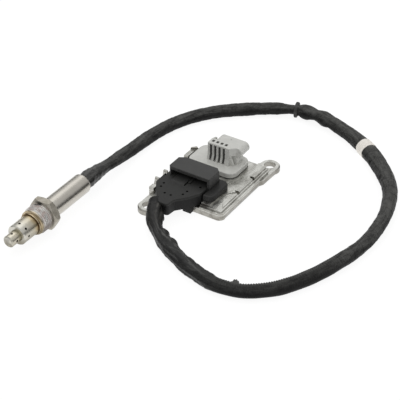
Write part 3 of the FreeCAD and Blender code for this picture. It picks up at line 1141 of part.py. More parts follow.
def cable_path(points):
    """Straight runs joined by tangent arcs, and the arcs' radii."""
    vectors = [FreeCAD.Vector(*point) for point in points]
    edges = []
    radii = []
    start = vectors[0]
    for before, corner, after in zip(vectors, vectors[1:], vectors[2:]):
        back = (before - corner)
        ahead = (after - corner)
        reach = 0.45 * min(back.Length, ahead.Length)
        turn = math.pi - back.getAngle(ahead)
        radius = reach / math.tan(turn / 2)
        entry = corner + back.normalize() * reach
        leave = corner + ahead.normalize() * reach
        centre_way = (back + ahead).normalize()
        middle = corner + centre_way * (radius / math.cos(turn / 2) - radius)
        edges.append(Part.LineSegment(start, entry).toShape())
        edges.append(Part.Arc(entry, middle, leave).toShape())
        radii.append(radius)
        start = leave
    edges.append(Part.LineSegment(start, vectors[-1]).toShape())
    return Part.Wire(edges), radii


def add_shape(label, shape):
    """A feature that carries a shape made directly."""
    feature = doc.addObject("Part::Feature", label)
    feature.Label = label
    feature.Shape = shape
    PARTS.append(feature)
    return feature


def make_cable():
    """The taped cable, its band, its tie and the plug's collar round it."""
    wire, radii = cable_path(CABLE_ROUTE)
    radius = value("cable_diameter / 2")
    first = FreeCAD.Vector(*CABLE_ROUTE[0])
    heading = FreeCAD.Vector(*CABLE_ROUTE[1]) - first
    section = Part.Wire(Part.makeCircle(radius, first, heading))
    tube = wire.makePipeShell([section], True, False)
    add_shape("cable", tube)
    expected = wire.Length * math.pi * radius ** 2
    print(f"cable length {wire.Length:.1f}, volume ratio {tube.Volume / expected:.4f}")
    print("cable radii", [round(item, 1) for item in radii])
    return wire


def place_along(wire, distance):
    """The point and the direction at a distance along the wire."""
    for edge in wire.OrderedEdges:
        if distance <= edge.Length:
            parameter = edge.getParameterByLength(distance)
            return edge.valueAt(parameter), edge.tangentAt(parameter).normalize()
        distance -= edge.Length
    raise ValueError("the place lies past the end of the cable")


def ring_on_cable(label, wire, distance, width, wall, head=None, rise=0):
    """A ring round the cable, with an optional block on top."""
    middle, way = place_along(wire, distance)
    inner = value("cable_diameter / 2 + wrap_clearance")
    near = middle - way * (width / 2)
    ring = Part.makeCylinder(inner + wall, width, near, way)
    if head:
        upright_way = (FreeCAD.Vector(0, 0, 1) - way * way.z).normalize()
        sideways = way.cross(upright_way)
        turn = FreeCAD.Rotation(way, sideways.negative(), upright_way, "XZY")
        corner = middle - way * (head / 2) + sideways * (head / 2) + upright_way * inner
        block = Part.makeBox(head, head, rise)
        block.Placement = FreeCAD.Placement(corner, turn)
        ring = ring.fuse(block)
    bore = Part.makeCylinder(inner, width * 4, middle - way * (width * 2), way)
    add_shape(label, ring.cut(bore).removeSplitter())


make_casting()
make_bottom_plate()
make_board()
make_seal("vehicle_connector_seal", "flange_left", "flange_right", "flange_near", "flange_far",
          "flange_corner",
          ("flange_left + spigot_inset - spigot_gap", "flange_right - spigot_inset + spigot_gap",
           "vehicle_pin_bend - spigot_half - spigot_gap", "vehicle_pin_bend + spigot_half + spigot_gap"))
make_vehicle_connector()
make_pins("vehicle_pin", 5, "vehicle_pin_first", "slot_pitch", "vehicle_pin_bend", "vehicle_pin_tip",
          SOCKET_MIDDLE, "1")
make_header_seal()
make_header()
make_pins("header_pin", 8, "header_pin_first", "header_pin_pitch", "header_pin_bend", "header_pin_tip",
          HEADER_PIN_HEIGHT, "-1")
make_plug()
make_probe()
doc.recompute()
path = make_cable()
ring_on_cable("white_tape_band", path, value("band_place"), value("band_width"), value("band_wall"))
ring_on_cable("cable_tie", path, value("tie_place"), value("tie_width"), value("tie_wall"),
              value("tie_head"), value("tie_rise"))
doc.recompute()

for item in doc.Objects:
    failed = [state for state in item.State if state in ("Invalid", "Error")]
    if failed:
        raise RuntimeError(f"{item.Label} could not be rebuilt: {failed}")
for part in PARTS:
    if part.Shape.isNull() or not part.Shape.isValid():
        raise RuntimeError(f"{part.Label} has no valid shape")

os.makedirs("parts", exist_ok=True)
for part in PARTS:
    part.Shape.exportStep(f"parts/{part.Label}.step")
print(f"{len(PARTS)} parts written")
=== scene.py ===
"""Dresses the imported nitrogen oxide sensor: steel probe, taped cable and die-cast control unit."""

import json
import logging
import math
from collections.abc import Callable, Sequence
from dataclasses import dataclass
from enum import Enum
from typing import Protocol

import bmesh
import bpy
import numpy as np
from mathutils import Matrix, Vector, noise

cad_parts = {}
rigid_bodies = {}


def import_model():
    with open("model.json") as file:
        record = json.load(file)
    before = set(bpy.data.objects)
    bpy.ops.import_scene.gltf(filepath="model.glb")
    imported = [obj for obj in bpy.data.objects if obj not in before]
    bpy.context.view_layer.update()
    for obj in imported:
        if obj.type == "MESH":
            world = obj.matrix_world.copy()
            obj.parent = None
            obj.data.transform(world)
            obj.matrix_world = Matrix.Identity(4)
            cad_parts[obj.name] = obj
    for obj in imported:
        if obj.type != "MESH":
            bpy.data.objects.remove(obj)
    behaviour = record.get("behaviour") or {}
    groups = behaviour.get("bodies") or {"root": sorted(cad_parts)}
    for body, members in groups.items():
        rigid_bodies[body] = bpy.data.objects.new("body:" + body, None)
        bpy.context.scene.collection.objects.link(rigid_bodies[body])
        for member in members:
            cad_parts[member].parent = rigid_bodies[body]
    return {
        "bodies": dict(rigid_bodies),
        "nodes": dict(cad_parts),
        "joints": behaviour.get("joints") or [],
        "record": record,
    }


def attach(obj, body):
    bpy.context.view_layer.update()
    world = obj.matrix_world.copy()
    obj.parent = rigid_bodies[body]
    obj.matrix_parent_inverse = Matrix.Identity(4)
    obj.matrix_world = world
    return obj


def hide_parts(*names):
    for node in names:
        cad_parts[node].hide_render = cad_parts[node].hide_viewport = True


LOG = logging.getLogger("nox_sensor")
MM = 0.001  # in metres
MERGE = 1e-7  # points nearer than this, in metres, are one
UV_NAME = "along_and_round"
RINGS = (0.04, 1.0, 0.04)  # stretches noise into rings round the probe's axis

Colour = tuple[float, float, float, float]
Point = tuple[float, float, float]
Pair = tuple[float, float]
Stops = Sequence[tuple[float, Colour]]
Socket = bpy.types.NodeSocket
Mesh = bmesh.types.BMesh
Profile = list[bmesh.types.BMVert | bmesh.types.BMEdge]


def shade(red: int, green: int, blue: int) -> Colour:
    """Turns a display colour into linear light.

    Args:
        red: Red part, 0 to 255.
        green: Green part, 0 to 255.
        blue: Blue part, 0 to 255.

    Returns:
        The colour as linear light with full alpha.
    """
    parts = (part / 255 for part in (red, green, blue))
    # The standard curve from display values to linear light.
    linear = [p / 12.92 if p <= 0.04045 else ((p + 0.055) / 1.055) ** 2.4 for p in parts]
    return (linear[0], linear[1], linear[2], 1.0)


class Signal:
    """A number's socket in a material, which adds Math nodes when it is used in an expression."""

    def __init__(self, graph: "Graph", socket: Socket) -> None:
        """Keeps the graph and the socket."""
        self.graph = graph
        self.socket = socket

    def __add__(self, other: "Signal | float") -> "Signal":
        """Returns this plus other."""
        return self.graph.math("ADD", self, other)

    def __radd__(self, other: float) -> "Signal":
        """Returns other plus this."""
        return self.graph.math("ADD", other, self)

    def __sub__(self, other: "Signal | float") -> "Signal":
        """Returns this minus other."""
        return self.graph.math("SUBTRACT", self, other)

    def __rsub__(self, other: float) -> "Signal":
        """Returns other minus this."""
        return self.graph.math("SUBTRACT", other, self)

    def __mul__(self, other: "Signal | float") -> "Signal":
        """Returns this times other."""
        return self.graph.math("MULTIPLY", self, other)

    def __rmul__(self, other: float) -> "Signal":
        """Returns other times this."""
        return self.graph.math("MULTIPLY", other, self)

    def __pow__(self, other: float) -> "Signal":
        """Returns this to the power of other."""
        return self.graph.math("POWER", self, other)

    def fraction(self) -> "Signal":
        """Returns the part after the point."""
        return self.graph.math("FRACT", self)

    def rise(self, low: float, high: float) -> "Signal":
        """Maps low to 0 and high to 1 and stops there.

        Args:
            low: Value that gives 0.
            high: Value that gives 1.

        Returns:
            The mapped number.
        """
        ends = {"Value": self, "From Min": low, "From Max": high, "To Min": 0.0, "To Max": 1.0}
        settings = {"clamp": True, "interpolation_type": "SMOOTHSTEP"}
        made = self.graph.node("MapRange", settings, ends)
        return Signal(self.graph, made.outputs[0])

    def fall(self, low: float, high: float) -> "Signal":
        """Maps low to 1 and high to 0 and stops there."""
        return 1.0 - self.rise(low, high)

    def between(self, low: float, high: float, edge: float) -> "Signal":
        """Returns 1 from low to high and 0 outside, with soft edges that wide."""
        return self.rise(low, low + edge) * self.fall(high, high + edge)


Number = Signal | float


class Graph:
    """The nodes of one material."""

    def __init__(self, name: str) -> None:
        """Makes an empty material.

        Args:
            name: The material's name.
        """
        self.material = bpy.data.materials.new(name)
        self.material.use_nodes = True
        self.tree = self.material.node_tree
        self.tree.nodes.clear()

    def node(
        self,
        kind: str,
        settings: dict[str, object] | None = None,
        inputs: dict[str | int, object] | None = None,
    ) -> bpy.types.Node:
        """Adds a node.

        Args:
            kind: Node type without its ShaderNode prefix.
            settings: Properties that are set first; stops are a ramp's places and colours.
            inputs: Values or links of its sockets, by name or number.

        Returns:
            The new node.
        """
        made = self.tree.nodes.new("ShaderNode" + kind)
        for key, value in (settings or {}).items():
            if key == "stops":
                fill_ramp(made.color_ramp, value)
            else:
                setattr(made, key, value)
        for key, value in (inputs or {}).items():
            link = value.socket if isinstance(value, Signal) else value
            if isinstance(link, Socket):
                self.tree.links.new(link, made.inputs[key])
            else:
                made.inputs[key].default_value = link
        return made

    def math(self, operation: str, *values: Number) -> Signal:
        """Adds a Math node.

        Args:
            operation: The node's operation.
            values: Its numbers, linked or plain.

        Returns:
            The result.
        """
        made = self.node("Math", {"operation": operation}, dict(enumerate(values)))
        return Signal(self, made.outputs[0])

    def place(self) -> Socket:
        """Returns the object coordinates, which are metres in the part's own frame."""
        return self.node("TexCoord").outputs["Object"]

    def surface(self) -> Socket:
        """Returns the piece's own UV map."""
        return self.node("UVMap", {"uv_map": UV_NAME}).outputs[0]

    def split(self, vector: Socket) -> tuple[Signal, Signal, Signal]:
        """Splits a vector.

        Args:
            vector: The vector's socket.

        Returns:
            Its three numbers.
        """
        made = self.node("SeparateXYZ", inputs={0: vector})
        return tuple(Signal(self, socket) for socket in made.outputs)

    def join(self, across: Number, away: Number, up: Number) -> Socket:
        """Joins three numbers into a vector.

        Args:
            across: The first number.
            away: The second number.
            up: The third number.

        Returns:
            The vector.
        """
        return self.node("CombineXYZ", inputs={0: across, 1: away, 2: up}).outputs[0]

    def stretch(
        self,
        vector: Socket,
        scale: Point,
        shift: Point = (0.0, 0.0, 0.0),
    ) -> Socket:
        """Scales and shifts a vector.

        Args:
            vector: The vector's socket.
            scale: Factor on each axis.
            shift: Amount added after the scale.

        Returns:
            The mapped vector.
        """
        values = {"Vector": vector, "Scale": scale, "Location": shift}
        return self.node("Mapping", inputs=values).outputs[0]

    def noise(
        self,
        vector: Socket,
        size: float,
        detail: float = 3.0,
        rough: float = 0.5,
        bend: float = 0.0,
    ) -> Signal:
        """Adds cloudy noise.

        Args:
            vector: Where it is read.
            size: Size of its largest grains, in the vector's unit.
            detail: Number of finer layers.
            rough: Share of each finer layer.
            bend: How far it is distorted.

        Returns:
            Noise from 0 to 1.
        """
        grain = {"Scale": 1 / size, "Detail": detail, "Roughness": rough, "Distortion": bend}
        return Signal(self, self.node("TexNoise", inputs={"Vector": vector, **grain}).outputs[0])

    def blend(
        self,
        factor: Number,
        first: Colour | Socket,
        second: Colour | Socket,
    ) -> Socket:
        """Mixes two colours.

        Args:
            factor: Share of the second colour.
            first: The first colour.
            second: The second colour.

        Returns:
            The mixed colour.
        """
        return self.node("Mix", {"data_type": "RGBA"}, {0: factor, 6: first, 7: second}).outputs[2]

    def ramp(self, factor: Signal, stops: Stops) -> Socket:
        """Runs a number through a colour ramp.

        Args:
            factor: The number, 0 to 1.
            stops: Places and colours.

        Returns:
            The colour.
        """
        return self.node("ValToRGB", {"stops": stops}, {0: factor}).outputs[0]

    def bump(self, height: Signal, depth: float, strength: float = 1.0) -> Socket:
        """Turns a height into a normal.

        Args:
            height: The height, 0 to 1.
            depth: What a height of 1 stands for, in metres.
            strength: Share of the effect.

        Returns:
            The normal.
        """
        values = {"Height": height, "Distance": depth, "Strength": strength}
        return self.node("Bump", inputs=values).outputs[0]

    def close(self, **sockets: object) -> bpy.types.Material:
        """Ends the material in a Principled shader.

        Args:
            sockets: Values or links of its sockets, with _ for a space in the name.

        Returns:
            The finished material.
        """
        values = {key.replace("_", " "): value for key, value in sockets.items()}
        shader = self.node("BsdfPrincipled", inputs=values)
        self.node("OutputMaterial", inputs={"Surface": shader.outputs[0]})
        return self.material


def fill_ramp(ramp: bpy.types.ColorRamp, stops: Stops) -> None:
    """Sets a ramp's stops.

    Args:
        ramp: The ramp.
        stops: Places, rising, and colours.
    """
    while len(ramp.elements) < len(stops):
        ramp.elements.new(1.0)
    for element, (place, colour) in zip(ramp.elements, stops):
        element.position = place
        element.color = colour


class Finish(Protocol):
    """Anything that makes a material."""

    def material(self) -> bpy.types.Material:
        """Returns the finished material."""


@dataclass(frozen=True)
class LowShade:
    """Painted shade on the lower side of the probe, with a frayed edge."""

    colour: Colour
    share: float
    fray: float
    solid: float
    clear: float

    def distance(self, graph: Graph, place: Socket) -> Signal:
        """Returns the height above the table."""
        return graph.split(place)[2]

    def over(self, graph: Graph, place: Socket, cloud: Signal, under: Socket) -> Socket:
        """Lays the painted shade over a colour.

        Args:
            graph: The material's graph.
            place: The place on the surface.
            cloud: Noise that frays the edge.
            under: The colour that it lies on.

        Returns:
            The two colours together.
        """
        ragged = self.distance(graph, place) + (cloud - 0.5) * self.fray
        return graph.blend(ragged.fall(self.solid, self.clear) * self.share, under, self.colour)


@dataclass(frozen=True)
class ShadeSpot(LowShade):
    """A painted shadow at one place, which fades away from its middle."""

    middle: Point
    reach: Point

    def distance(self, graph: Graph, place: Socket) -> Signal:
        """Measures from the painted shadow's middle.

        Args:
            graph: The material's graph.
            place: The place on the surface.

        Returns:
            The distance, as a share of the painted shadow's reach.
        """
        scale = tuple(1 / length for length in self.reach)
        shift = tuple(-centre / length for centre, length in zip(self.middle, self.reach))
        centred = graph.stretch(place, scale, shift)
        made = graph.node("VectorMath", {"operation": "LENGTH"}, {0: centred})
        return Signal(graph, made.outputs["Value"])


@dataclass(frozen=True)
class CastMetal:
    """Die-cast aluminium: flow marks, painted highlights at its upper levels, painted shade on
    walls, one painted shadow.
    """

    name: str
    light: Colour = shade(214, 214, 209)
    dark: Colour = shade(166, 165, 159)
    # The walls' two colours are painted shade: a darker copy of the same metal.
    wall: Colour = shade(182, 180, 173)
    wall_dark: Colour = shade(138, 135, 128)
    # Painted shadow of the plug on the step below it, with a painted reflection of the black plug.
    plug_shadow: ShadeSpot = ShadeSpot(
        shade(66, 62, 58), share=0.85, fray=1.2, solid=0.5, clear=1.1,
        middle=(12.5 * MM, -27.6 * MM, 7.0 * MM), reach=(7.5 * MM, 2.4 * MM, 2.2 * MM),
    )
    roughness: float = 0.24
    metal: float = 0.9
    grain: float = 0.7 * MM
    flow: float = 6.0 * MM
    flow_stretch: Point = (1.0, 0.45, 1.4)
    contrast: Pair = (0.32, 0.68)
    depth: float = 0.34 * MM
    # Heights of the faces that get the light colours as painted highlights.
    levels: tuple[float, ...] = (4.2 * MM, 6.0 * MM, 7.2 * MM, 8.2 * MM, 10.4 * MM)
    level_reach: float = 0.55 * MM

    def material(self) -> bpy.types.Material:
        """Mixes the finish.

        Returns:
            The finished material.
        """
        graph = Graph(self.name)
        place = graph.place()
        sand = graph.noise(place, self.grain, detail=4.0, rough=0.6)
        stretched = graph.stretch(place, self.flow_stretch)
        flow = graph.noise(stretched, self.flow, detail=3.0, rough=0.55, bend=0.6)
        tone = (sand * 0.2 + flow * 0.8).rise(*self.contrast)
        height = graph.split(place)[2]
        # Painted highlight on faces near each level; everywhere else the walls' painted shade shows.
        lit_levels: Number = 0.0
        for level in self.levels:
            off = graph.math("ABSOLUTE", height - level)
            lit_levels = graph.math("MAXIMUM", off.fall(self.level_reach / 2, self.level_reach), lit_levels)
        side = graph.blend(tone, self.wall_dark, self.wall)
        colour = graph.blend(lit_levels, side, graph.blend(tone, self.dark, self.light))
        colour = self.plug_shadow.over(graph, place, flow, colour)
        rough = self.roughness + tone * 0.14
        normal = graph.bump(sand * 0.07 + flow * 0.93, self.depth)
        return graph.close(Base_Color=colour, Metallic=self.metal, Roughness=rough, Normal=normal)


@dataclass(frozen=True)
class RolledSheet:
    """Rolled aluminium sheet with fine lines along its length."""

    name: str
    light: Colour = shade(196, 196, 193)
    dark: Colour = shade(150, 150, 148)
    roughness: float = 0.34
    metal: float = 0.9
    lines: float = 0.25 * MM
    line_stretch: Point = (0.05, 1.0, 1.0)
    cloud_size: float = 6 * MM
    depth: float = 0.02 * MM

    def material(self) -> bpy.types.Material:
        """Mixes the finish.

        Returns:
            The finished material.
        """
        graph = Graph(self.name)
        place = graph.place()
        lines = graph.noise(graph.stretch(place, self.line_stretch), self.lines, detail=2.0)
        cloud = graph.noise(place, self.cloud_size, detail=2.0)
        colour = graph.blend(lines * 0.6 + cloud * 0.4, self.dark, self.light)
        rough = self.roughness + lines * 0.2
        normal = graph.bump(lines, self.depth)
        return graph.close(Base_Color=colour, Metallic=self.metal, Roughness=rough, Normal=normal)


@dataclass(frozen=True)
class MouldedPlastic:
    """Injection-moulded plastic with a fine spark-eroded grain and faint flow marks."""

    name: str
    light: Colour
    dark: Colour
    roughness: float
    grain: float = 0.35 * MM
    cloud_size: float = 7 * MM
    contrast: Pair = (0.25, 0.75)
    depth: float = 0.03 * MM
    specular: float = 0.5
    # Colour of the painted shade that marks lay on.
    shadow: Colour = shade(142, 142, 138)

    def marks(self, place: Socket, graph: Graph) -> Signal | None:
        """Returns the share of shadow at each place, or nothing where the moulding is plain."""
        return None

    def material(self) -> bpy.types.Material:
        """Mixes the finish.

        Returns:
            The finished material.
        """
        graph = Graph(self.name)
        place = graph.place()
        grain = graph.noise(place, self.grain, detail=2.0, rough=0.6)
        cloud = graph.noise(place, self.cloud_size, detail=3.0, rough=0.5, bend=0.8)
        tone = (cloud * 0.7 + grain * 0.3).rise(*self.contrast)
        colour = graph.blend(tone, self.dark, self.light)
        shadow = self.marks(place, graph)
        if shadow is not None:
            colour = graph.blend(shadow, colour, self.shadow)
        rough = self.roughness + (grain - 0.5) * 0.12 + (cloud - 0.5) * 0.1
        normal = graph.bump(grain * 0.8 + cloud * 0.2, self.depth)
        values = {"Specular_IOR_Level": self.specular}
        return graph.close(Base_Color=colour, Roughness=rough, Normal=normal, **values)


@dataclass(frozen=True)
class SlottedPlastic(MouldedPlastic):
    """Grey plastic of the vehicle connector, with painted shade in its slots and windows and on its
    gate mark.
    """

    slots: int = 4
    slot_middle: float = -10.2 * MM
    slot_pitch: float = 3.63 * MM
    slot_half: float = 0.94 * MM
    slot_foot: float = 13.15 * MM
    slot_top: float = 25.75 * MM
    slot_back: float = 20.3 * MM
    row_edge: float = 0.02
    window_half: float = 1.1 * MM
    window_near: float = 18.9 * MM
    window_back: float = 21.7 * MM
    window_foot: float = 23.15 * MM
    window_fade: float = 0.5 * MM
    # The gate mark's darker spot is painted shade of its small dimple.
    gate: Pair = (-0.1 * MM, 28.5 * MM)
    gate_radius: float = 0.8 * MM
    gate_foot: float = 26.0 * MM
    gate_fade: float = 0.6 * MM
    gate_share: float = 0.6
    edge: float = 0.06 * MM

    def marks(self, place: Socket, graph: Graph) -> Signal:
        """Paints shade into the slots, the windows and the gate mark.

        Args:
            place: The place on the surface.
            graph: The material's graph.

        Returns:
            The share of shadow.
        """
        across, away, up = graph.split(place)
        row = (across - (self.slot_middle - self.slot_pitch / 2)) * (1 / self.slot_pitch)
        in_row = row.between(0.0, self.slots - self.row_edge, self.row_edge)
        off = graph.math("ABSOLUTE", row.fraction() - 0.5) * self.slot_pitch
        slot = off.fall(self.slot_half, self.slot_half + self.edge)
        slot = slot * up.between(self.slot_foot - self.edge, self.slot_top, self.edge)
        slot = slot * away.fall(self.slot_back, self.slot_back + self.edge)
        window = off.fall(self.window_half, self.window_half + self.edge)
        window = window * away.between(self.window_near, self.window_back, self.edge)
        window = window * up.rise(self.window_foot, self.window_foot + self.window_fade)
        distance = ((across - self.gate[0]) ** 2.0 + (away - self.gate[1]) ** 2.0) ** 0.5
        gate = distance.fall(self.gate_radius * 0.6, self.gate_radius)
        gate = gate * up.rise(self.gate_foot, self.gate_foot + self.gate_fade) * self.gate_share
        return graph.math("MAXIMUM", in_row * graph.math("MAXIMUM", slot, window), gate)


@dataclass(frozen=True)
class HeaderPlastic(MouldedPlastic):
    """Black plastic of the sensor header, with painted shade that makes its flange darker than its
    shroud.
    """

    flange_top: float = 13.6 * MM
    flange_fade: float = 0.8 * MM

    def marks(self, place: Socket, graph: Graph) -> Signal:
        """Returns the share of shadow, which is full on the flange."""
        return graph.split(place)[2].fall(self.flange_top, self.flange_top + self.flange_fade)


@dataclass(frozen=True)
class DimpledPlastic(MouldedPlastic):
    """Black plastic of the plug's cover, with painted shade in its eight dimples."""

    middle: float = -10.5 * MM
    # Places of four dimples off the cover's middle line, which the other four mirror.
    dimples: tuple[Pair, ...] = (
        (9.8 * MM, -29.6 * MM), (9.2 * MM, -34.1 * MM),
        (2.5 * MM, -39.4 * MM), (15.0 * MM, -20.4 * MM),
    )
    dimple_radius: float = 0.95 * MM
    dimple_edge: float = 0.15 * MM

    def marks(self, place: Socket, graph: Graph) -> Signal:
        """Paints shade into the dimples.

        Args:
            place: The place on the surface.
            graph: The material's graph.

        Returns:
            The share of shadow.
        """
        across, away, _ = graph.split(place)
        off = graph.math("ABSOLUTE", across - self.middle)
        nearest: Number = 1.0
        for reach, along in self.dimples:
            distance = ((off - reach) ** 2.0 + (away - along) ** 2.0) ** 0.5
            nearest = graph.math("MINIMUM", distance, nearest)
        return nearest.fall(self.dimple_radius, self.dimple_radius + self.dimple_edge)


@dataclass(frozen=True)
class TurnedSteel:
    """Turned stainless steel with fine rings round the probe's axis."""

    name: str
    light: Colour
    dark: Colour
    roughness: float
    axis: Pair = (-72.5 * MM, 11 * MM)
    lines: float = 0.22 * MM
    depth: float = 0.012 * MM
    cloud_size: float = 5 * MM
    contrast: Pair = (0.3, 0.7)

    def material(self) -> bpy.types.Material:
        """Mixes the finish.

        Returns:
            The finished material.
        """
        graph = Graph(self.name)
        across, height = self.axis
        inputs = {0: graph.place(), 1: (across, 0.0, height)}
        centred = graph.node("VectorMath", {"operation": "SUBTRACT"}, inputs).outputs[0]
        rings = graph.noise(graph.stretch(centred, RINGS), self.lines, detail=3.0, rough=0.6)
        cloud = graph.noise(centred, self.cloud_size, detail=3.0, rough=0.55, bend=0.5)
        tone = (rings * 0.35 + cloud * 0.65).rise(*self.contrast)
        colour = graph.blend(tone, self.dark, self.light)
        rough = self.roughness + (rings - 0.5) * 0.06 + (cloud - 0.5) * 0.08
        normal = graph.bump(rings, self.depth)
        return graph.close(Base_Color=colour, Metallic=1.0, Roughness=rough, Normal=normal)


@dataclass(frozen=True)
class HeatTintedSteel:
    """Thin steel tinted straw and brown by exhaust heat along the probe, with painted shade on its
    lower side.
    """

    name: str
    near: float
    far: float
    stops: Stops
    roughness: float = 0.26
    # Painted shade on the lower side, darker towards the table.
    low_shade: LowShade = LowShade(
        shade(108, 100, 80), share=0.75, fray=8 * MM, solid=6.5 * MM, clear=14.5 * MM)
    lines: float = 0.3 * MM
    cloud_size: float = 4 * MM
    cloud_stretch: Point = (1.0, 0.6, 1.0)
    depth: float = 0.02 * MM

    def material(self) -> bpy.types.Material:
        """Mixes the finish.

        Returns:
            The finished material.
        """
        graph = Graph(self.name)
        place = graph.place()
        along = graph.split(place)[1]
        stretched = graph.stretch(place, self.cloud_stretch)
        cloud = graph.noise(stretched, self.cloud_size, detail=3.0, rough=0.5, bend=0.4)
        rings = graph.noise(graph.stretch(place, RINGS), self.lines, detail=2.0)
        share = graph.math("DIVIDE", along - self.near, self.far - self.near)
        colour = graph.ramp(share + (cloud - 0.5) * 0.28, self.stops)
        colour = self.low_shade.over(graph, place, cloud, colour)
        rough = self.roughness + cloud * 0.12 + (rings - 0.5) * 0.1
        normal = graph.bump(rings * 0.5 + cloud * 0.5, self.depth)
        return graph.close(Base_Color=colour, Metallic=1.0, Roughness=rough, Normal=normal)


@dataclass(frozen=True)
class ThreadSteel:
    """Plated steel: a warm grey hexagon with a painted shadow at one place, and a thread with pink
    paste and painted shade below.
    """

    name: str
    thread_far: float
    hexagon: Colour = shade(192, 187, 177)
    hexagon_dark: Colour = shade(166, 161, 149)
    thread: Colour = shade(222, 221, 218)
    paste: Colour = shade(196, 180, 174)
    # Painted shade on the thread's lower side, darker towards the table.
    low_shade: LowShade = LowShade(
        shade(134, 127, 122), share=0.9, fray=5 * MM, solid=8.0 * MM, clear=15.5 * MM)
    # Painted shadow in the undercut between the thread and the hexagon.
    relief_shade: ShadeSpot = ShadeSpot(
        shade(38, 37, 34), share=0.9, fray=0.8, solid=0.5, clear=1.1,
        middle=(-74.8 * MM, -103.6 * MM, 20.8 * MM), reach=(4.2 * MM, 1.9 * MM, 2.8 * MM),
    )
    contrast: Pair = (0.3, 0.7)
    paste_edge: Pair = (0.45, 0.62)
    thread_edge: Pair = (-0.3 * MM, 0.1 * MM)
    grain: float = 0.4 * MM
    cloud_size: float = 4 * MM
    depth: float = 0.03 * MM

    def material(self) -> bpy.types.Material:
        """Mixes the finish.

        Returns:
            The finished material.
        """
        graph = Graph(self.name)
        place = graph.place()
        along = graph.split(place)[1]
        cloud = graph.noise(place, self.cloud_size, detail=4.0, rough=0.6, bend=0.5)
        grain = graph.noise(place, self.grain, detail=2.0)
        on_thread = along.fall(*(self.thread_far + edge for edge in self.thread_edge))
        body = graph.blend(cloud.rise(*self.contrast), self.hexagon_dark, self.hexagon)
        pasted = cloud.rise(*self.paste_edge)
        front = graph.blend(pasted * 0.85, self.thread, self.paste)
        front = self.low_shade.over(graph, place, cloud, front)
        colour = graph.blend(on_thread, body, front)
        colour = self.relief_shade.over(graph, place, cloud, colour)
        metal = 1.0 - on_thread * pasted * 0.55
        rough = 0.5 - on_thread * 0.14 + cloud * 0.14 + on_thread * pasted * 0.14
        normal = graph.bump(grain * 0.5 + cloud * 0.5, self.depth)
        return graph.close(Base_Color=colour, Metallic=metal, Roughness=rough, Normal=normal)


@dataclass(frozen=True)
class WoundTape:
    """Charcoal tape wound round the cable: crinkled and shiny at the probe, woven at the plug, with
    painted highlights and shade.
    """

    name: str
    length: float
    pitch: float
    shiny_end: float
    textile_start: float
    loose_start: float
    # Where the painted shade on the outer side starts.
    dark_start: float
    textile_fade: float = 12 * MM
    loose_fade: float = 20 * MM
    dark_fade: float = 40 * MM
    light: Colour = shade(88, 88, 86)
    dark: Colour = shade(48, 48, 47)
    under: Colour = shade(17, 17, 17)
    # The colour of painted shade: on the underside, on the outer side towards the plug and in the
    # hollows of the loose folds.
    textile: Colour = shade(66, 61, 52)
    radius: float = 4.6 * MM
    crease_length: float = 11.0 * MM
    crease_width: float = 1.7 * MM
    crinkle: float = 2.6 * MM
    weave: float = 0.35 * MM
    lip: float = 0.06
    depth: float = 0.55 * MM
    depth_share: float = 0.9
    specular: float = 0.12
    coat_roughness: float = 0.3

    def material(self) -> bpy.types.Material:
        """Mixes the finish.

        Returns:
            The finished material.
        """
        graph = Graph(self.name)
        along, round_it, _ = graph.split(graph.surface())
        metres = along * self.length
        place = graph.place()
        turn = round_it * (2 * math.pi)
        lengthwise = graph.join(
            metres * (1 / self.crease_length),
            graph.math("COSINE", turn) * (self.radius / self.crease_width),
            graph.math("SINE", turn) * (self.radius / self.crease_width),
        )
        creases = graph.noise(lengthwise, 1.0, detail=3.0, rough=0.55, bend=0.5)
        crinkle = graph.noise(place, self.crinkle, detail=4.0, rough=0.6, bend=1.2)
        folds = creases * 0.6 + crinkle * 0.4
        weave = graph.noise(place, self.weave, detail=2.0, rough=0.5)
        winding = (metres * (1 / self.pitch) - round_it).fraction()
        shiny = metres.fall(self.shiny_end * 0.6, self.shiny_end)
        textile = metres.rise(self.textile_start, self.textile_start + self.textile_fade)
        loose = metres.rise(self.loose_start, self.loose_start + self.loose_fade)
        shaded_stretch = metres.rise(self.dark_start, self.dark_start + self.dark_fade)
        # Shares of painted shade on the underside and on the outer side.
        low = (graph.math("SINE", turn) + (folds - 0.5) * 0.7).fall(0.02, 1.0)
        outer = (graph.math("SINE", turn - math.pi / 2) + (folds - 0.5) * 0.5).rise(-0.35, 0.45)
        # Painted highlight on the fold ridges and painted shade in their hollows.
        base = graph.blend(folds.rise(0.32, 0.66), self.dark, self.light)
        cloth = graph.blend(weave.rise(0.3, 0.7) * 0.6 + crinkle * 0.3, self.dark, self.textile)
        colour = graph.blend(textile * 0.7, base, cloth)
        colour = graph.blend(winding.fall(0.0, self.lip) * 0.5, colour, self.dark)
        # Painted shade in the hollows of the loose folds near the plug.
        colour = graph.blend(loose * 0.75 * creases.fall(0.52, 0.66), colour, self.under)
        # Painted shade on the underside.
        colour = graph.blend(low * 0.95, colour, self.under)
        # Painted shade on the outer side towards the plug.
        colour = graph.blend(outer * shaded_stretch * 0.5, colour, self.under)
        rough = 0.5 - shiny * 0.2 + textile * 0.1 + (crinkle - 0.5) * 0.2
        height = folds * (0.75 + loose * 0.5) + weave * 0.07 + winding * 0.18
        normal = graph.bump(height, self.depth, self.depth_share)
        return graph.close(
            Base_Color=colour,
            Roughness=rough,
            Normal=normal,
            Specular_IOR_Level=self.specular,
            Coat_Weight=shiny * 0.4 + loose * 0.3,
            Coat_Roughness=self.coat_roughness,
        )


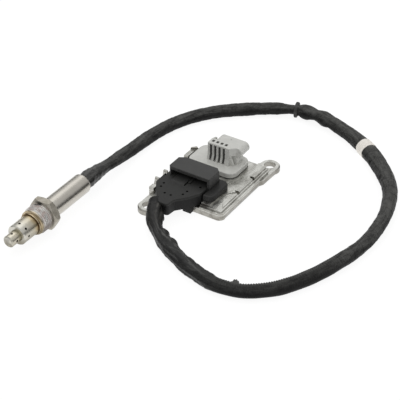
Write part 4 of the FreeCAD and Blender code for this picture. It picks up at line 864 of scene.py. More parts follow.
@dataclass(frozen=True)
class SoftSolid:
    """A plain soft or brittle solid, such as sealant, rubber, ceramic, talc or paper tape."""

    name: str
    light: Colour
    dark: Colour
    roughness: float
    grain: float = 0.8 * MM
    contrast: Pair = (0.3, 0.7)
    depth: float = 0.04 * MM

    def material(self) -> bpy.types.Material:
        """Mixes the finish.

        Returns:
            The finished material.
        """
        graph = Graph(self.name)
        place = graph.place()
        grain = graph.noise(place, self.grain, detail=4.0, rough=0.6, bend=0.3)
        colour = graph.blend(grain.rise(*self.contrast), self.dark, self.light)
        rough = self.roughness + (grain - 0.5) * 0.15
        normal = graph.bump(grain, self.depth)
        return graph.close(Base_Color=colour, Roughness=rough, Normal=normal)


@dataclass(frozen=True)
class BoardLaminate:
    """Green solder mask over copper tracks, which show as paler lines."""

    name: str
    mask: Colour = shade(24, 82, 48)
    track: Colour = shade(48, 120, 70)
    bricks: Point = (260.0, 260.0, 260.0)
    offset: float = 0.37
    track_width: float = 0.03
    roughness: float = 0.3
    cloud_size: float = 3 * MM
    depth: float = 0.02 * MM

    def material(self) -> bpy.types.Material:
        """Mixes the finish.

        Returns:
            The finished material.
        """
        graph = Graph(self.name)
        place = graph.place()
        inputs = {
            "Vector": graph.stretch(place, self.bricks),
            "Mortar Size": self.track_width,
            "Scale": 1.0,
            "Color1": self.mask,
            "Color2": self.mask,
            "Mortar": self.track,
        }
        tracks = graph.node("TexBrick", {"offset": self.offset}, inputs).outputs[0]
        cloud = graph.noise(place, self.cloud_size)
        rough = self.roughness + cloud * 0.15
        return graph.close(Base_Color=tracks, Roughness=rough, Normal=graph.bump(cloud, self.depth))


STRAW_STOPS = (
    (0.0, shade(210, 208, 199)),
    (0.35, shade(205, 201, 189)),
    (0.7, shade(196, 189, 171)),
    (0.88, shade(178, 162, 130)),
    (1.0, shade(120, 98, 68)),
)
TIP_STOPS = (
    (0.0, shade(180, 178, 170)),
    (0.05, shade(206, 202, 188)),
    (0.5, shade(212, 205, 188)),
    (1.0, shade(172, 166, 144)),
)
COLLAR_STOPS = (
    (0.0, shade(124, 104, 76)),
    (0.15, shade(216, 202, 174)),
    (0.3, shade(128, 110, 84)),
    (0.45, shade(208, 192, 162)),
    (0.62, shade(146, 130, 104)),
    (0.85, shade(212, 204, 190)),
    (1.0, shade(206, 202, 192)),
)


class Body(Enum):
    """The two bodies of the frame that pieces ride on."""

    SENSOR = "sensor"
    NUT = "nut"


class Frame:
    """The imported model's nodes, by name."""

    def __init__(self, loaded: dict[str, object]) -> None:
        self.nodes: dict[str, bpy.types.Object] = loaded["nodes"]

    def dress(self, finish: Finish, *names: str) -> None:
        """Gives nodes a finish.

        Args:
            finish: The finish.
            names: The nodes' names.
        """
        material = finish.material()
        for name in names:
            for slot in self.nodes[name].material_slots:
                slot.material = material
        LOG.info("dressed %s as %s", ", ".join(names), material.name)

    def numbered(self, start: str) -> list[str]:
        """Returns the names of the nodes that begin with start."""
        return sorted(name for name in self.nodes if name.startswith(start))


def finish_piece(
    work: Mesh,
    name: str,
    body: Body,
    material: bpy.types.Material,
    crease: float = 35.0,
) -> bpy.types.Object:
    """Makes a mesh a finished piece that rides on a body.

    Args:
        work: The bmesh, which is freed.
        name: The piece's name.
        body: The body that it rides on.
        material: Its material.
        crease: Angle in degrees past which an edge stays sharp.

    Returns:
        The piece.
    """
    mesh = bpy.data.meshes.new(name)
    work.normal_update()
    work.to_mesh(mesh)
    work.free()
    mesh.materials.append(material)
    mesh.shade_smooth()
    mesh.set_sharp_from_angle(angle=math.radians(crease))
    piece = bpy.data.objects.new(name, mesh)
    bpy.context.scene.collection.objects.link(piece)
    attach(piece, body.value)
    LOG.info("made %s with %d faces", name, len(mesh.polygons))
    return piece


class Centreline:
    """The cable's smooth line, read from the NURBS spline of its route."""

    def __init__(self, route: Sequence[Point]) -> None:
        """Reads the line.

        Args:
            route: The spline's control points, in millimetres.
        """
        curve = bpy.data.curves.new("cable_route", "CURVE")
        curve.dimensions = "3D"
        curve.resolution_u = 24
        spline = curve.splines.new("NURBS")
        spline.points.add(len(route) - 1)
        for point, (across, away, up) in zip(spline.points, route):
            point.co = (across * MM, away * MM, up * MM, 1.0)
        spline.order_u = 3
        spline.use_endpoint_u = True
        holder = bpy.data.objects.new("cable_route", curve)
        mesh = bpy.data.meshes.new_from_object(holder)
        self.points = np.array([vertex.co for vertex in mesh.vertices])
        bpy.data.objects.remove(holder)
        bpy.data.meshes.remove(mesh)
        bpy.data.curves.remove(curve)
        steps = np.linalg.norm(np.diff(self.points, axis=0), axis=1)
        self.distance = np.concatenate(([0.0], np.cumsum(steps)))
        self.length = float(self.distance[-1])
        tangents = np.gradient(self.points, self.distance, axis=0)
        self.tangents = tangents / np.linalg.norm(tangents, axis=1)[:, None]

    def frames(self, along: np.ndarray) -> tuple[np.ndarray, np.ndarray, np.ndarray]:
        """Finds the line's places and the directions across it.

        Args:
            along: Distances from the start, in metres.

        Returns:
            The places, the directions to the inner side of the loop, and the directions up.
        """
        places, ahead = (
            np.stack([np.interp(along, self.distance, axis) for axis in table.T], axis=1)
            for table in (self.points, self.tangents)
        )
        inner = np.cross(ahead, (0.0, 0.0, 1.0))
        inner /= np.linalg.norm(inner, axis=1)[:, None]
        return places, inner, np.cross(inner, ahead)


def skin(
    line: Centreline,
    along: np.ndarray,
    sides: int,
    radius: Callable[[np.ndarray, np.ndarray], np.ndarray],
    floor: float,
) -> Mesh:
    """Wraps a grid round the line.

    Args:
        line: The line that it follows.
        along: Distances of its rings, in metres.
        sides: Number of faces round it.
        radius: Gives the radius from arrays of distances and angles.
        floor: Lowest height that it may reach.

    Returns:
        A closed tube whose UV map runs along it and round it.
    """
    places, inner, up = line.frames(along)
    angles = np.linspace(0.0, 2 * math.pi, sides, endpoint=False)
    reach = radius(along[:, None], angles[None, :])[:, :, None]
    cosine, sine = np.cos(angles)[None, :, None], np.sin(angles)[None, :, None]
    spots = places[:, None, :] + reach * (cosine * inner[:, None, :] + sine * up[:, None, :])
    spots[:, :, 2] = np.maximum(spots[:, :, 2], floor)
    work = bmesh.new()
    layer = work.loops.layers.uv.new(UV_NAME)
    last, half = len(along) - 1, 0.5
    bmesh.ops.create_grid(work, x_segments=last, y_segments=sides, size=half, calc_uvs=True)
    for face in work.faces:
        for loop in face.loops:
            loop[layer].uv.x = along[round(loop[layer].uv.x * last)] / line.length
    for vertex in work.verts:
        ring = round((vertex.co.x + half) * last)
        side = round((vertex.co.y + half) * sides) % sides
        vertex.co = spots[ring, side]
    bmesh.ops.remove_doubles(work, verts=work.verts[:], dist=MERGE)
    rims = [edge for edge in work.edges if edge.is_boundary]
    bmesh.ops.holes_fill(work, edges=rims, sides=0)
    bmesh.ops.recalc_face_normals(work, faces=work.faces[:])
    return work


def window(along: np.ndarray, start: float, end: float, fade: float) -> np.ndarray:
    """Marks a stretch of the cable.

    Args:
        along: Distances, in metres.
        start: Where the stretch starts.
        end: Where it ends.
        fade: How far the mark fades on either side.

    Returns:
        One in the stretch and nothing outside it.
    """
    rise = np.clip((along - start + fade) / fade, 0.0, 1.0)
    fall = np.clip((end + fade - along) / fade, 0.0, 1.0)
    share = np.minimum(rise, fall)
    return share * share * (3 - 2 * share)


def chord(angle: np.ndarray, facing: float) -> np.ndarray:
    """Returns how far angles in radians lie from a facing in degrees, on a circle of radius 1."""
    return 2 * np.sin((angle - math.radians(facing)) / 2)


def lump(
    along: np.ndarray,
    angle: np.ndarray,
    place: float,
    facing: float,
    size: float,
    width: float = 0.55,
) -> np.ndarray:
    """Gives a rounded lump on the cable.

    Args:
        along: Distances, in metres.
        angle: Angles round the cable, in radians.
        place: Distance of the lump's middle.
        facing: Angle of the lump's middle, in degrees.
        size: Half its length, in metres.
        width: Half its width, as a share of the cable's radius.

    Returns:
        Its height, from 0 to 1.
    """
    spread = ((along - place) / size) ** 2 + (chord(angle, facing) / width) ** 2
    return np.exp(-(spread**2))


@dataclass(frozen=True)
class FoldLayer:
    """One layer of the tape's folds: their length in metres, and their height in millimetres."""

    length: float
    tightness: float
    shift: float
    height: float
    at_probe: float
    at_plug: float
    flattened: float
    inward: bool = False

    def pattern(self, along: np.ndarray, angle: np.ndarray) -> np.ndarray:
        """Reads smooth noise.

        Args:
            along: Distances, in metres.
            angle: Angles, in radians.

        Returns:
            The noise, from -1 to 1.
        """
        lengthwise = along / self.length + self.shift
        spots = zip(lengthwise, np.cos(angle) * self.tightness, np.sin(angle) * self.tightness)
        return np.array([noise.noise(Vector(spot)) for spot in spots])


@dataclass
class CableLoom:
    """The taped cable with its white band, its tie and its ribbed stretch."""

    # The spline's control points, in millimetres.
    route: tuple[Point, ...] = (
        (-72.5, -56.0, 11.0), (-72.5, -40.0, 11.0), (-72.2, -22.6, 9.3), (-72.9, -3.7, 6.5),
        (-73.1, 16.8, 5.0), (-71.6, 37.5, 4.7), (-66.8, 57.8, 4.7), (-56.9, 76.8, 4.7),
        (-43.7, 92.0, 4.8), (-25.5, 106.3, 4.9), (-5.8, 118.0, 5.9), (14.5, 122.5, 6.6),
        (34.5, 119.9, 5.9), (55.9, 112.3, 5.0), (76.7, 99.9, 5.3), (95.4, 83.8, 5.2),
        (111.6, 65.3, 5.6), (121.4, 42.5, 5.9), (125.9, 20.0, 5.8), (126.6, -2.8, 5.1),
        (122.2, -26.0, 4.9), (114.8, -50.5, 4.8), (104.2, -72.0, 4.8), (93.8, -84.4, 4.8),
        (80.5, -93.4, 4.8), (64.8, -96.2, 4.8), (49.5, -93.4, 4.8), (35.2, -87.9, 4.8),
        (20.4, -81.2, 5.2), (7.5, -74.3, 5.8), (-2.1, -66.0, 7.0), (-9.2, -59.2, 8.3),
        (-13.6, -49.8, 9.4),
    )
    # Distances from the probe and the diameters there, in millimetres.
    thickness: tuple[Pair, ...] = (
        (0, 11.3), (7, 11.8), (13, 11.0), (19, 10.6), (26, 8.5), (34, 8.6), (46, 9.5), (62, 9.7),
        (82, 10.3), (104, 9.9), (130, 9.7), (145, 9.6), (158, 10.4), (172, 10.6), (184, 9.6),
        (197, 9.9), (206, 7.5), (211, 7.6), (216, 9.6), (227, 10.5), (237, 10.0), (247, 10.6),
        (262, 11.0), (274, 11.4), (292, 12.4), (310, 12.6), (330, 11.7), (345, 10.7), (360, 10.3),
        (380, 9.7), (400, 9.6), (415, 9.4), (430, 10.3), (470, 10.0), (505, 9.7), (520, 9.3),
        (535, 10.1), (548, 9.8), (560, 10.4), (570, 11.4), (582, 11.4), (590, 10.0), (600, 9.0),
        (606, 10.2), (618, 11.0), (626, 11.4),
    )
    diameter: float = 9.3 * MM
    sides: int = 44
    ring_step: float = 0.5 * MM
    rib_step: float = 0.25 * MM
    rib_pitch: float = 1.8 * MM
    rib_height: float = 0.24 * MM
    rib_start: float = 440 * MM
    rib_end: float = 520 * MM
    rib_facing: float = 78.0
    rib_sharpness: float = 1.4
    rib_fade: float = 14 * MM
    rib_margin: float = 10 * MM
    tape_pitch: float = 9.0 * MM
    tape_step: float = 0.16 * MM
    shiny_end: float = 32 * MM
    textile_start: float = 596 * MM
    crinkle_end: float = 20 * MM
    crinkle_fade: float = 20 * MM
    loose_start: float = 524 * MM
    loose_fade: float = 14 * MM
    loose_facing: float = 0.5
    loose_even: float = 0.35
    # Where the painted shade on the tape's outer side starts.
    dark_start: float = 425 * MM
    # Small, large and long folds.
    folds: tuple[FoldLayer, ...] = (
        FoldLayer(3.2 * MM, 2.4, 0, height=0.12, at_probe=0.2, at_plug=0.18, flattened=0.7),
        FoldLayer(
            10.5 * MM, 0.9, 40, height=0.3, at_probe=0.3, at_plug=0.6, flattened=0, inward=True),
        FoldLayer(24 * MM, 2.1, 80, height=0.3, at_probe=0, at_plug=0.75, flattened=0.6),
    )
    twist_start: float = 215 * MM
    twist_end: float = 241 * MM
    twist_phase: float = 208 * MM
    twist_pitch: float = 34 * MM
    twist_height: float = 0.8 * MM
    twist_fade: float = 7 * MM
    # Place, facing in degrees, half length and height of each lump, in millimetres.
    lumps: tuple[tuple[float, float, float, float], ...] = (
        (306, 40, 1.6, -0.8), (329, 40, 1.6, -0.8), (517, 35, 2.5, 2.2), (537, 20, 5.0, 0.8),
        (558, 25, 4.0, 0.8), (581, 25, 4.0, 1.1), (594, 20, 3.0, 0.8), (601, 10, 2.4, -1.6),
        (613, 5, 5.0, 1.8), (604, 190, 9.0, 0.6),
    )
    floor: float = 0.05 * MM
    band_place: float = 286.9 * MM
    band_width: float = 9.2 * MM
    band_wall: float = 0.35 * MM
    band_edge: float = 0.12 * MM
    band_sink: float = 0.2 * MM
    band_rings: int = 15
    tie_place: float = 212.0 * MM
    tie_width: float = 3.6 * MM
    tie_wall: float = 1.0 * MM
    tie_sink: float = 0.3 * MM
    tie_squareness: int = 5
    tie_rings: tuple[float, ...] = (
        -1.0, -0.96, -0.85, -0.6, -0.3, 0.0, 0.3, 0.6, 0.85, 0.96, 1.0,
    )
    tie_knob: float = 1.5 * MM
    # Facing in degrees, width and share of the height of each knob.
    tie_knobs: tuple[Point, ...] = ((128.0, 0.36, 1.0), (-38.0, 0.3, 0.85))

    def __post_init__(self) -> None:
        """Reads the route's line."""
        self.line = Centreline(self.route)

    def radius(self, along: np.ndarray, angle: np.ndarray) -> np.ndarray:
        """Gives the cable's radius over its tape.

        Args:
            along: Distances from the probe, in metres.
            angle: Angles, in radians, from the inner side of the loop over the top.

        Returns:
            The radius at each distance and angle, in metres.
        """
        places, widths = np.array(self.thickness).T
        base = np.interp(along, places * MM, widths * MM / 2) + 0 * angle
        winding = np.mod(along / self.tape_pitch - angle / (2 * math.pi), 1.0)
        ribbed = window(along, self.rib_start, self.rib_end, self.rib_fade)
        base = base + self.tape_step * (winding - 0.5) * (1 - ribbed)
        upper = np.clip(self.rib_sharpness * np.cos(angle - math.radians(self.rib_facing)), 0, 1)
        ribs = np.cos(2 * math.pi * along / self.rib_pitch)
        base = base + self.rib_height * ribs * ribbed * upper
        twisted = window(along, self.twist_start, self.twist_end, self.twist_fade)
        phase = 2 * (angle - 2 * math.pi * (along - self.twist_phase) / self.twist_pitch)
        base = base + self.twist_height * twisted * np.cos(phase)
        for place, facing, size, height in self.lumps:
            base = base + height * MM * lump(along, angle, place * MM, facing, size * MM)
        return base + self.crumple(along, angle)

    def crumple(self, along: np.ndarray, angle: np.ndarray) -> np.ndarray:
        """Gives the tape's creases and lumps, which are larger at the probe and towards the plug.

        Args:
            along: Distances, in metres.
            angle: Angles, in radians.

        Returns:
            The height of the creases, in metres.
        """
        shape = np.broadcast(along, angle).shape
        distance = np.broadcast_to(along, shape).ravel()
        turn = np.broadcast_to(angle, shape).ravel()
        near_probe = 1 - np.clip((distance - self.crinkle_end) / self.crinkle_fade, 0, 1)
        near_plug = np.clip((distance - self.loose_start) / self.loose_fade, 0, 1)
        facing = np.clip(np.cos(turn - self.loose_facing), 0, 1)
        inner_side = near_plug * (self.loose_even + (1 - self.loose_even) * facing)
        ribbed = window(distance, self.rib_start, self.rib_end, self.rib_margin)
        heights = np.zeros(len(distance))
        for layer in self.folds:
            at_plug = layer.at_plug * (inner_side if layer.inward else near_plug)
            size = layer.height + layer.at_probe * near_probe + at_plug
            heights += layer.pattern(distance, turn) * (size * (1 - layer.flattened * ribbed))
        return (heights * MM).reshape(shape)

    def rings(self) -> np.ndarray:
        """Sets the cable's rings, closer together where it is ribbed.

        Returns:
            Their distances, in metres.
        """
        start, end = self.rib_start - self.rib_margin, self.rib_end + self.rib_margin
        parts = (
            np.arange(0.0, start, self.ring_step),
            np.arange(start, end, self.rib_step),
            np.arange(end, self.line.length - self.ring_step / 2, self.ring_step),
            np.array([self.line.length]),
        )
        return np.concatenate(parts)

    def build_cable(self) -> bpy.types.Object:
        """Builds the cable.

        Returns:
            Its piece.
        """
        tape = WoundTape(
            "cable_tape",
            length=self.line.length,
            pitch=self.tape_pitch,
            shiny_end=self.shiny_end,
            textile_start=self.textile_start,
            loose_start=self.loose_start,
            dark_start=self.dark_start,
        )
        work = skin(self.line, self.rings(), self.sides, self.radius, self.floor)
        return finish_piece(
            work, "taped_cable", Body.SENSOR, tape.material(), crease=60.0)

    def build_band(self) -> bpy.types.Object:
        """Builds the white tape band.

        Returns:
            Its piece.
        """
        half, edge = self.band_width / 2, self.band_edge
        start, end = self.band_place - half, self.band_place + half
        inside = np.linspace(start + edge, end - edge, self.band_rings)
        along = np.concatenate(([start], inside, [end]))

        def wrap(distance: np.ndarray, angle: np.ndarray) -> np.ndarray:
            """Lays the band on the cable, and drops it into the cable at both ends.

            Args:
                distance: Distances along the cable, in metres.
                angle: Angles round it, in radians.

            Returns:
                The band's radius.
            """
            between = np.abs(distance - self.band_place) < half - edge / 2
            proud = np.where(between, self.band_wall, -self.band_sink)
            smooth = self.radius(np.full_like(distance, self.band_place), angle)
            return (smooth + self.radius(distance, angle)) / 2 + proud

        finish = SoftSolid(
            "white_tape", shade(250, 246, 239), shade(234, 228, 219), roughness=0.6, grain=1.2 * MM)
        work = skin(self.line, along, self.sides, wrap, self.floor)
        return finish_piece(work, "white_band", Body.SENSOR, finish.material())

    def build_tie(self) -> bpy.types.Object:
        """Builds the cable tie, a strap with a lock on one side and a cut tail on the other.

        Returns:
            Its piece.
        """
        half = self.tie_width / 2
        along = self.tie_place + half * np.array(self.tie_rings)

        def strap(distance: np.ndarray, angle: np.ndarray) -> np.ndarray:
            """Lays the strap round the cable, with its two knobs.

            Args:
                distance: Distances along the cable, in metres.
                angle: Angles round it, in radians.

            Returns:
                The strap's radius.
            """
            off = np.abs((distance - self.tie_place) / half)
            share = np.clip(1 - off**self.tie_squareness, 0, 1)
            knobs = sum(
                size * np.exp(-((chord(angle, facing) / width) ** 4))
                for facing, width, size in self.tie_knobs
            )
            proud = (self.tie_wall + self.tie_knob * knobs) * share - self.tie_sink * (1 - share)
            base = np.interp(self.tie_place, *(np.array(self.thickness).T * MM)) / 2
            return base + proud

        finish = MouldedPlastic("tie_plastic", shade(46, 46, 45), shade(34, 34, 33), roughness=0.45)
        work = skin(self.line, along, self.sides, strap, self.floor)
        return finish_piece(work, "tie_strap", Body.SENSOR, finish.material())

    def build(self) -> None:
        cable = self.build_cable()
        band = self.build_band()
        tie = self.build_tie()
        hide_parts("cable")
        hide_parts("white_tape_band")
        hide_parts("cable_tie")


@dataclass
class UnionNut:
    """The free-spinning union nut: a hexagon behind an M20 thread."""

    across: float = -72.5 * MM
    height: float = 11.0 * MM
    front: float = -111.0 * MM
    hex_front: float = -102.3 * MM
    back: float = -96.5 * MM
    flats: float = 22.0 * MM
    face_inset: float = 0.2 * MM
    bevel: float = 1.3 * MM
    bevel_steps: int = 6
    bore: float = 6.88 * MM
    thread_radius: float = 10.0 * MM
    thread_depth: float = 0.92 * MM
    thread_pitch: float = 1.5 * MM
    thread_merge: float = 0.005 * MM
    root_end: float = 0.12
    crest_start: float = 0.46
    crest_end: float = 0.58
    chamfer: float = 0.8 * MM
    relief: float = 1.4 * MM
    relief_slope: float = 1.5
    rim_slack: float = 0.001 * MM
    neck_overlap: float = 0.1 * MM
    steps: int = 96

    def place(self, radius: float, along: float) -> Vector:
        """Returns the point on the profile's plane at a radius and a place along the axis."""
        return Vector((self.across + radius, along, self.height))

    def spin(self, work: Mesh, geometry: Profile, climb: float = 0.0, turns: int = 1) -> None:
        """Turns a profile round the nut's axis.

        Args:
            work: The bmesh.
            geometry: The profile's points and edges.
            climb: How far it climbs in one turn.
            turns: Number of turns.
        """
        bmesh.ops.spin(
            work,
            geom=geometry,
            cent=(self.across, 0.0, self.height),
            axis=(0.0, 1.0, 0.0),
            dvec=(0.0, climb / self.steps, 0.0),
            angle=math.radians(360 * turns),
            steps=self.steps * turns,
            use_merge=climb == 0.0,
        )

    def profile(self, work: Mesh, points: Sequence[Vector]) -> Profile:
        """Adds a profile.

        Args:
            work: The bmesh.
            points: The profile's points, in order.

        Returns:
            Its new points and the edges between them.
        """
        corners = [work.verts.new(point) for point in points]
        edges = [work.edges.new(pair) for pair in zip(corners, corners[1:])]
        return corners + edges

    def trim(self, work: Mesh, limit: Callable[[float, float], float]) -> None:
        """Draws in the points that stand too far out from the axis.

        Args:
            work: The bmesh.
            limit: Gives the largest radius at a place along the axis and an angle round it.
        """
        axis = self.place(0.0, 0.0)
        for vertex in work.verts:
            off = Vector((vertex.co.x - axis.x, 0.0, vertex.co.z - axis.z))
            largest = limit(vertex.co.y, math.atan2(off.z, off.x))
            if off.length > largest:
                off *= largest / off.length
                vertex.co = Vector((axis.x + off.x, vertex.co.y, axis.z + off.z))

    def hexagon(self) -> Mesh:
        """Builds the hexagon with its turned bevels and the plain bore.

        Returns:
            Its bmesh.
        """
        work = bmesh.new()
        corner = self.flats / math.sqrt(3)
        inner = self.flats / 2 - self.face_inset
        shares = [index / self.bevel_steps for index in range(self.bevel_steps + 1)]
        slope = [(inner + (corner - inner) * share, self.bevel * share) for share in shares]
        front = [self.place(radius, self.hex_front + inset) for radius, inset in slope]
        back = [self.place(radius, self.back - inset) for radius, inset in reversed(slope)]
        ends = self.place(self.bore, self.hex_front), self.place(self.bore, self.back)
        self.spin(work, self.profile(work, [ends[0], *front, *back, ends[1]]))
        sector = math.radians(60)
        self.trim(work, lambda _, turn: self.flats / 2 / math.cos(turn % sector - sector / 2))
        return work

    def thread(self) -> Mesh:
        """Builds the threaded front with its chamfer, its undercut and its flat face.

        Returns:
            Its bmesh.
        """
        work = bmesh.new()
        root, crest = self.thread_radius - self.thread_depth, self.thread_radius
        far, pitch = self.hex_front - self.relief, self.thread_pitch
        turns = math.ceil((far - self.front) / pitch) + 2
        start = self.front - pitch
        pattern = (
            (root, 0.0), (root, self.root_end), (crest, self.crest_start), (crest, self.crest_end),
            (root, 1.0),
        )
        points = [self.place(radius, start + share * pitch) for radius, share in pattern]
        self.spin(work, self.profile(work, points), pitch, turns)
        bmesh.ops.remove_doubles(work, verts=work.verts[:], dist=self.thread_merge)
        for cut, way in ((self.front, -1.0), (far, 1.0)):
            bmesh.ops.bisect_plane(
                work,
                geom=work.verts[:] + work.edges[:] + work.faces[:],
                plane_co=(0.0, cut, 0.0),
                plane_no=(0.0, way, 0.0),
                clear_outer=True,
            )

        def limit(along: float, _: float) -> float:
            """Returns the largest radius that the chamfer and the undercut leave."""
            undercut = max(root + (far - along) * self.relief_slope, root)
            return min(crest - self.chamfer + (along - self.front), undercut)

        self.trim(work, limit)
        self.close_front(work)
        neck = self.place(root, far), self.place(root, self.hex_front + self.neck_overlap)
        self.spin(work, self.profile(work, neck))
        return work

    def close_front(self, work: Mesh) -> None:
        """Draws the front rim in to the bore as a flat face.

        Args:
            work: The bmesh.
        """
        rim = [
            edge for edge in work.edges if edge.is_boundary
            and all(abs(end.co.y - self.front) < self.rim_slack for end in edge.verts)
        ]
        made = bmesh.ops.extrude_edge_only(work, edges=rim)["geom"]
        for vertex in (part for part in made if isinstance(part, bmesh.types.BMVert)):
            off = Vector((vertex.co.x - self.across, 0.0, vertex.co.z - self.height))
            off = off.normalized() * self.bore
            vertex.co = Vector((self.across + off.x, self.front, self.height + off.z))

    def build(self) -> None:
        """Builds the nut as one piece that turns with its own body."""
        work = self.hexagon()
        front = self.thread()
        mesh = bpy.data.meshes.new("thread_part")
        front.to_mesh(mesh)
        front.free()
        work.from_mesh(mesh)
        bpy.data.meshes.remove(mesh)
        bmesh.ops.recalc_face_normals(work, faces=work.faces[:])
        finish = ThreadSteel("nut_steel", self.hex_front)
        piece = finish_piece(
            work, "union_nut", Body.NUT, finish.material(), crease=28.0)
        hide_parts("swivel_nut")


@dataclass
class Probe:
    """The probe's turned steel parts and the ceramics inside."""

    guard_near: float = -130.1 * MM
    guard_far: float = -115.0 * MM
    tip_near: float = -138.9 * MM
    tip_far: float = -130.0 * MM
    collar_near: float = -115.15 * MM
    collar_far: float = -111.2 * MM

    def dress(self, frame: Frame) -> None:
        """Gives each of the probe's nodes its finish.

        Args:
            frame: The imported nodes.
        """
        guard = HeatTintedSteel("guard_steel", self.guard_near, self.guard_far, STRAW_STOPS)
        frame.dress(guard, "outer_protection_tube")
        tip = HeatTintedSteel("tip_steel", self.tip_near, self.tip_far, TIP_STOPS)
        frame.dress(tip, "inner_protection_tube")
        collar = HeatTintedSteel(
            "collar_steel", self.collar_near, self.collar_far, COLLAR_STOPS, roughness=0.3)
        frame.dress(collar, "probe_shell")
        satin = TurnedSteel(
            "satin_steel", shade(199, 195, 187), shade(188, 184, 175), roughness=0.3,
            lines=1.0 * MM, depth=0.001 * MM,
        )
        frame.dress(satin, "outer_sleeve")
        rubber = SoftSolid("grommet_rubber", shade(44, 44, 44), shade(30, 30, 30), roughness=0.6)
        frame.dress(rubber, "cable_grommet")
        ceramic = SoftSolid(
            "white_ceramic", shade(232, 228, 218), shade(214, 208, 196), roughness=0.5)
        frame.dress(ceramic, "front_ceramic", "rear_ceramic", "contact_holder", "sensing_element")
        talc = SoftSolid("pressed_talc", shade(206, 204, 196), shade(180, 178, 170), roughness=0.8)
        frame.dress(talc, "talc_seal")


@dataclass
class ControlUnit:
    """The die-cast control unit with its board, its grey connector and its black sensor plug."""

    def dress(self, frame: Frame) -> None:
        """Gives each of the control unit's nodes its finish.

        Args:
            frame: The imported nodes.
        """
        frame.dress(CastMetal("diecast_aluminium"), "diecast_housing")
        frame.dress(RolledSheet("sheet_aluminium"), "bottom_plate")
        sealant = SoftSolid(
            "black_sealant", shade(40, 40, 40), shade(24, 24, 24), roughness=0.55, grain=1.5 * MM)
        frame.dress(sealant, "bottom_gasket", "vehicle_connector_seal", "sensor_header_seal")
        # Its slots, windows and gate mark get painted shade.
        grey = SlottedPlastic(
            "grey_plastic", shade(212, 212, 207), shade(198, 198, 193), roughness=0.42)
        frame.dress(grey, "vehicle_connector")
        # Its flange gets painted shade.
        header = HeaderPlastic(
            "header_plastic", shade(66, 66, 65), shade(57, 57, 56), roughness=0.5,
            specular=0.35, shadow=shade(38, 38, 37),
        )
        frame.dress(header, "sensor_header")
        plug = MouldedPlastic(
            "plug_plastic", shade(32, 32, 32), shade(24, 24, 24), roughness=0.5, specular=0.2)
        frame.dress(plug, "plug_body")
        # Its dimples get painted shade.
        cover = DimpledPlastic(
            "cover_plastic", shade(49, 49, 48), shade(41, 41, 40), roughness=0.52,
            specular=0.25, shadow=shade(12, 12, 12),
        )
        frame.dress(cover, "plug_cover")
        pins = TurnedSteel(
            "tinned_pins", shade(206, 204, 198), shade(176, 172, 164), roughness=0.3)
        frame.dress(pins, *frame.numbered("vehicle_pin"), *frame.numbered("header_pin"))
        frame.dress(BoardLaminate("board_laminate"), "circuit_board")
        resin = SoftSolid("chip_resin", shade(44, 44, 46), shade(32, 32, 34), roughness=0.5)
        frame.dress(resin, "processor", "heater_driver", "signal_amplifier")
        frame.dress(RolledSheet("capacitor_can"), "filter_capacitor")


@dataclass(frozen=True)
class Lamp:
    """A square soft light that faces the object."""

    name: str
    place: Point
    size: float
    power: float

    def hang(self) -> None:
        """Adds the light to the scene."""
        data = bpy.data.lights.new(self.name, "AREA")
        data.shape = "SQUARE"
        data.size = self.size
        data.energy = self.power
        lamp = bpy.data.objects.new(self.name, data)
        lamp.location = self.place
        lamp.rotation_euler = (-Vector(self.place)).to_track_quat("-Z", "Y").to_euler()
        bpy.context.scene.collection.objects.link(lamp)


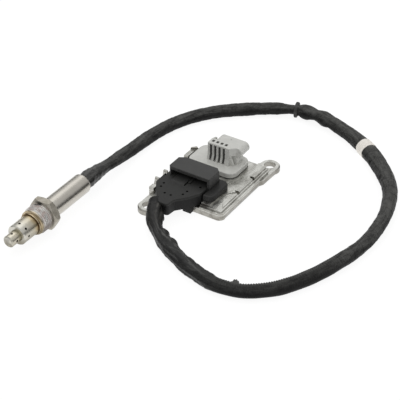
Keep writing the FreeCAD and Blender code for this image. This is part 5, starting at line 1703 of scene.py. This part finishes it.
@dataclass
class Studio:
    """A pale floor, soft light from above and the camera."""

    look_at: Point = (1.0 * MM, -15.45 * MM, 0.0)
    distance: float = 928.6 * MM
    elevation: float = 35.4
    azimuth: float = 32.6
    lens: float = 117.0
    sensor: float = 36.0
    floor_side: float = 12.0
    floor_drop: float = 0.2 * MM
    paper_light: Colour = shade(114, 114, 114)
    paper_dark: Colour = shade(110, 110, 110)
    paper_cloud: float = 0.4
    paper_glow: float = 0.9
    sky: tuple[Pair, ...] = ((0.0, 0.05), (0.16, 0.12), (0.34, 0.85), (1.0, 1.0))
    sky_strength: float = 0.76
    lamps: tuple[Lamp, ...] = (
        Lamp("key_light", (-0.5, 0.35, 1.3), size=1.5, power=5.0),
        Lamp("front_light", (0.9, -1.0, 1.2), size=0.9, power=1.5),
    )

    def build_floor(self) -> None:
        """Builds the floor."""
        work = bmesh.new()
        bmesh.ops.create_grid(work, x_segments=1, y_segments=1, size=self.floor_side / 2)
        bmesh.ops.translate(work, verts=work.verts[:], vec=(0.0, 0.0, -self.floor_drop))
        mesh = bpy.data.meshes.new("studio_floor")
        work.to_mesh(mesh)
        work.free()
        graph = Graph("floor_paper")
        cloud = graph.noise(graph.place(), self.paper_cloud)
        paper = graph.close(
            Base_Color=graph.blend(cloud, self.paper_dark, self.paper_light),
            Roughness=0.9,
            Emission_Color=shade(255, 255, 255),
            Emission_Strength=self.paper_glow,
            Specular_IOR_Level=0.0,
        )
        mesh.materials.append(paper)
        floor = bpy.data.objects.new("studio_floor", mesh)
        bpy.context.scene.collection.objects.link(floor)

    def build_sky(self) -> None:
        """Builds the surroundings: white above, darker near the horizon."""
        world = bpy.data.worlds.new("studio_sky")
        world.use_nodes = True
        nodes, links = world.node_tree.nodes, world.node_tree.links
        place = nodes.new("ShaderNodeTexCoord")
        split = nodes.new("ShaderNodeSeparateXYZ")
        ramp = nodes.new("ShaderNodeValToRGB")
        fill_ramp(ramp.color_ramp, [(rise, (tone, tone, tone, 1.0)) for rise, tone in self.sky])
        links.new(place.outputs["Generated"], split.inputs[0])
        links.new(split.outputs[2], ramp.inputs[0])
        links.new(ramp.outputs[0], nodes["Background"].inputs[0])
        nodes["Background"].inputs[1].default_value = self.sky_strength
        bpy.context.scene.world = world

    def build_camera(self) -> None:
        """Adds the camera at the photograph's viewing angle."""
        turn, rise = math.radians(self.azimuth), math.radians(self.elevation)
        level = math.cos(rise)
        back = Vector((math.sin(turn) * level, -math.cos(turn) * level, math.sin(rise)))
        data = bpy.data.cameras.new("photo_camera")
        data.lens = self.lens
        data.sensor_width = self.sensor
        camera = bpy.data.objects.new("photo_camera", data)
        camera.location = Vector(self.look_at) + back * self.distance
        camera.rotation_euler = (-back).to_track_quat("-Z", "Y").to_euler()
        bpy.context.scene.collection.objects.link(camera)
        bpy.context.scene.camera = camera

    def build(self) -> None:
        """Builds the floor, the lights and the camera."""
        self.build_floor()
        self.build_sky()
        for lamp in self.lamps:
            lamp.hang()
        self.build_camera()
        bpy.context.scene.view_settings.view_transform = "Standard"


def main() -> None:
    """Loads the frame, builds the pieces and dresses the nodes."""
    logging.basicConfig(level=logging.INFO, format="%(name)s: %(message)s")
    frame = Frame(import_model())
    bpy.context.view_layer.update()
    Studio().build()
    CableLoom().build()
    UnionNut().build()
    Probe().dress(frame)
    ControlUnit().dress(frame)


if __name__ == "__main__":
    main()
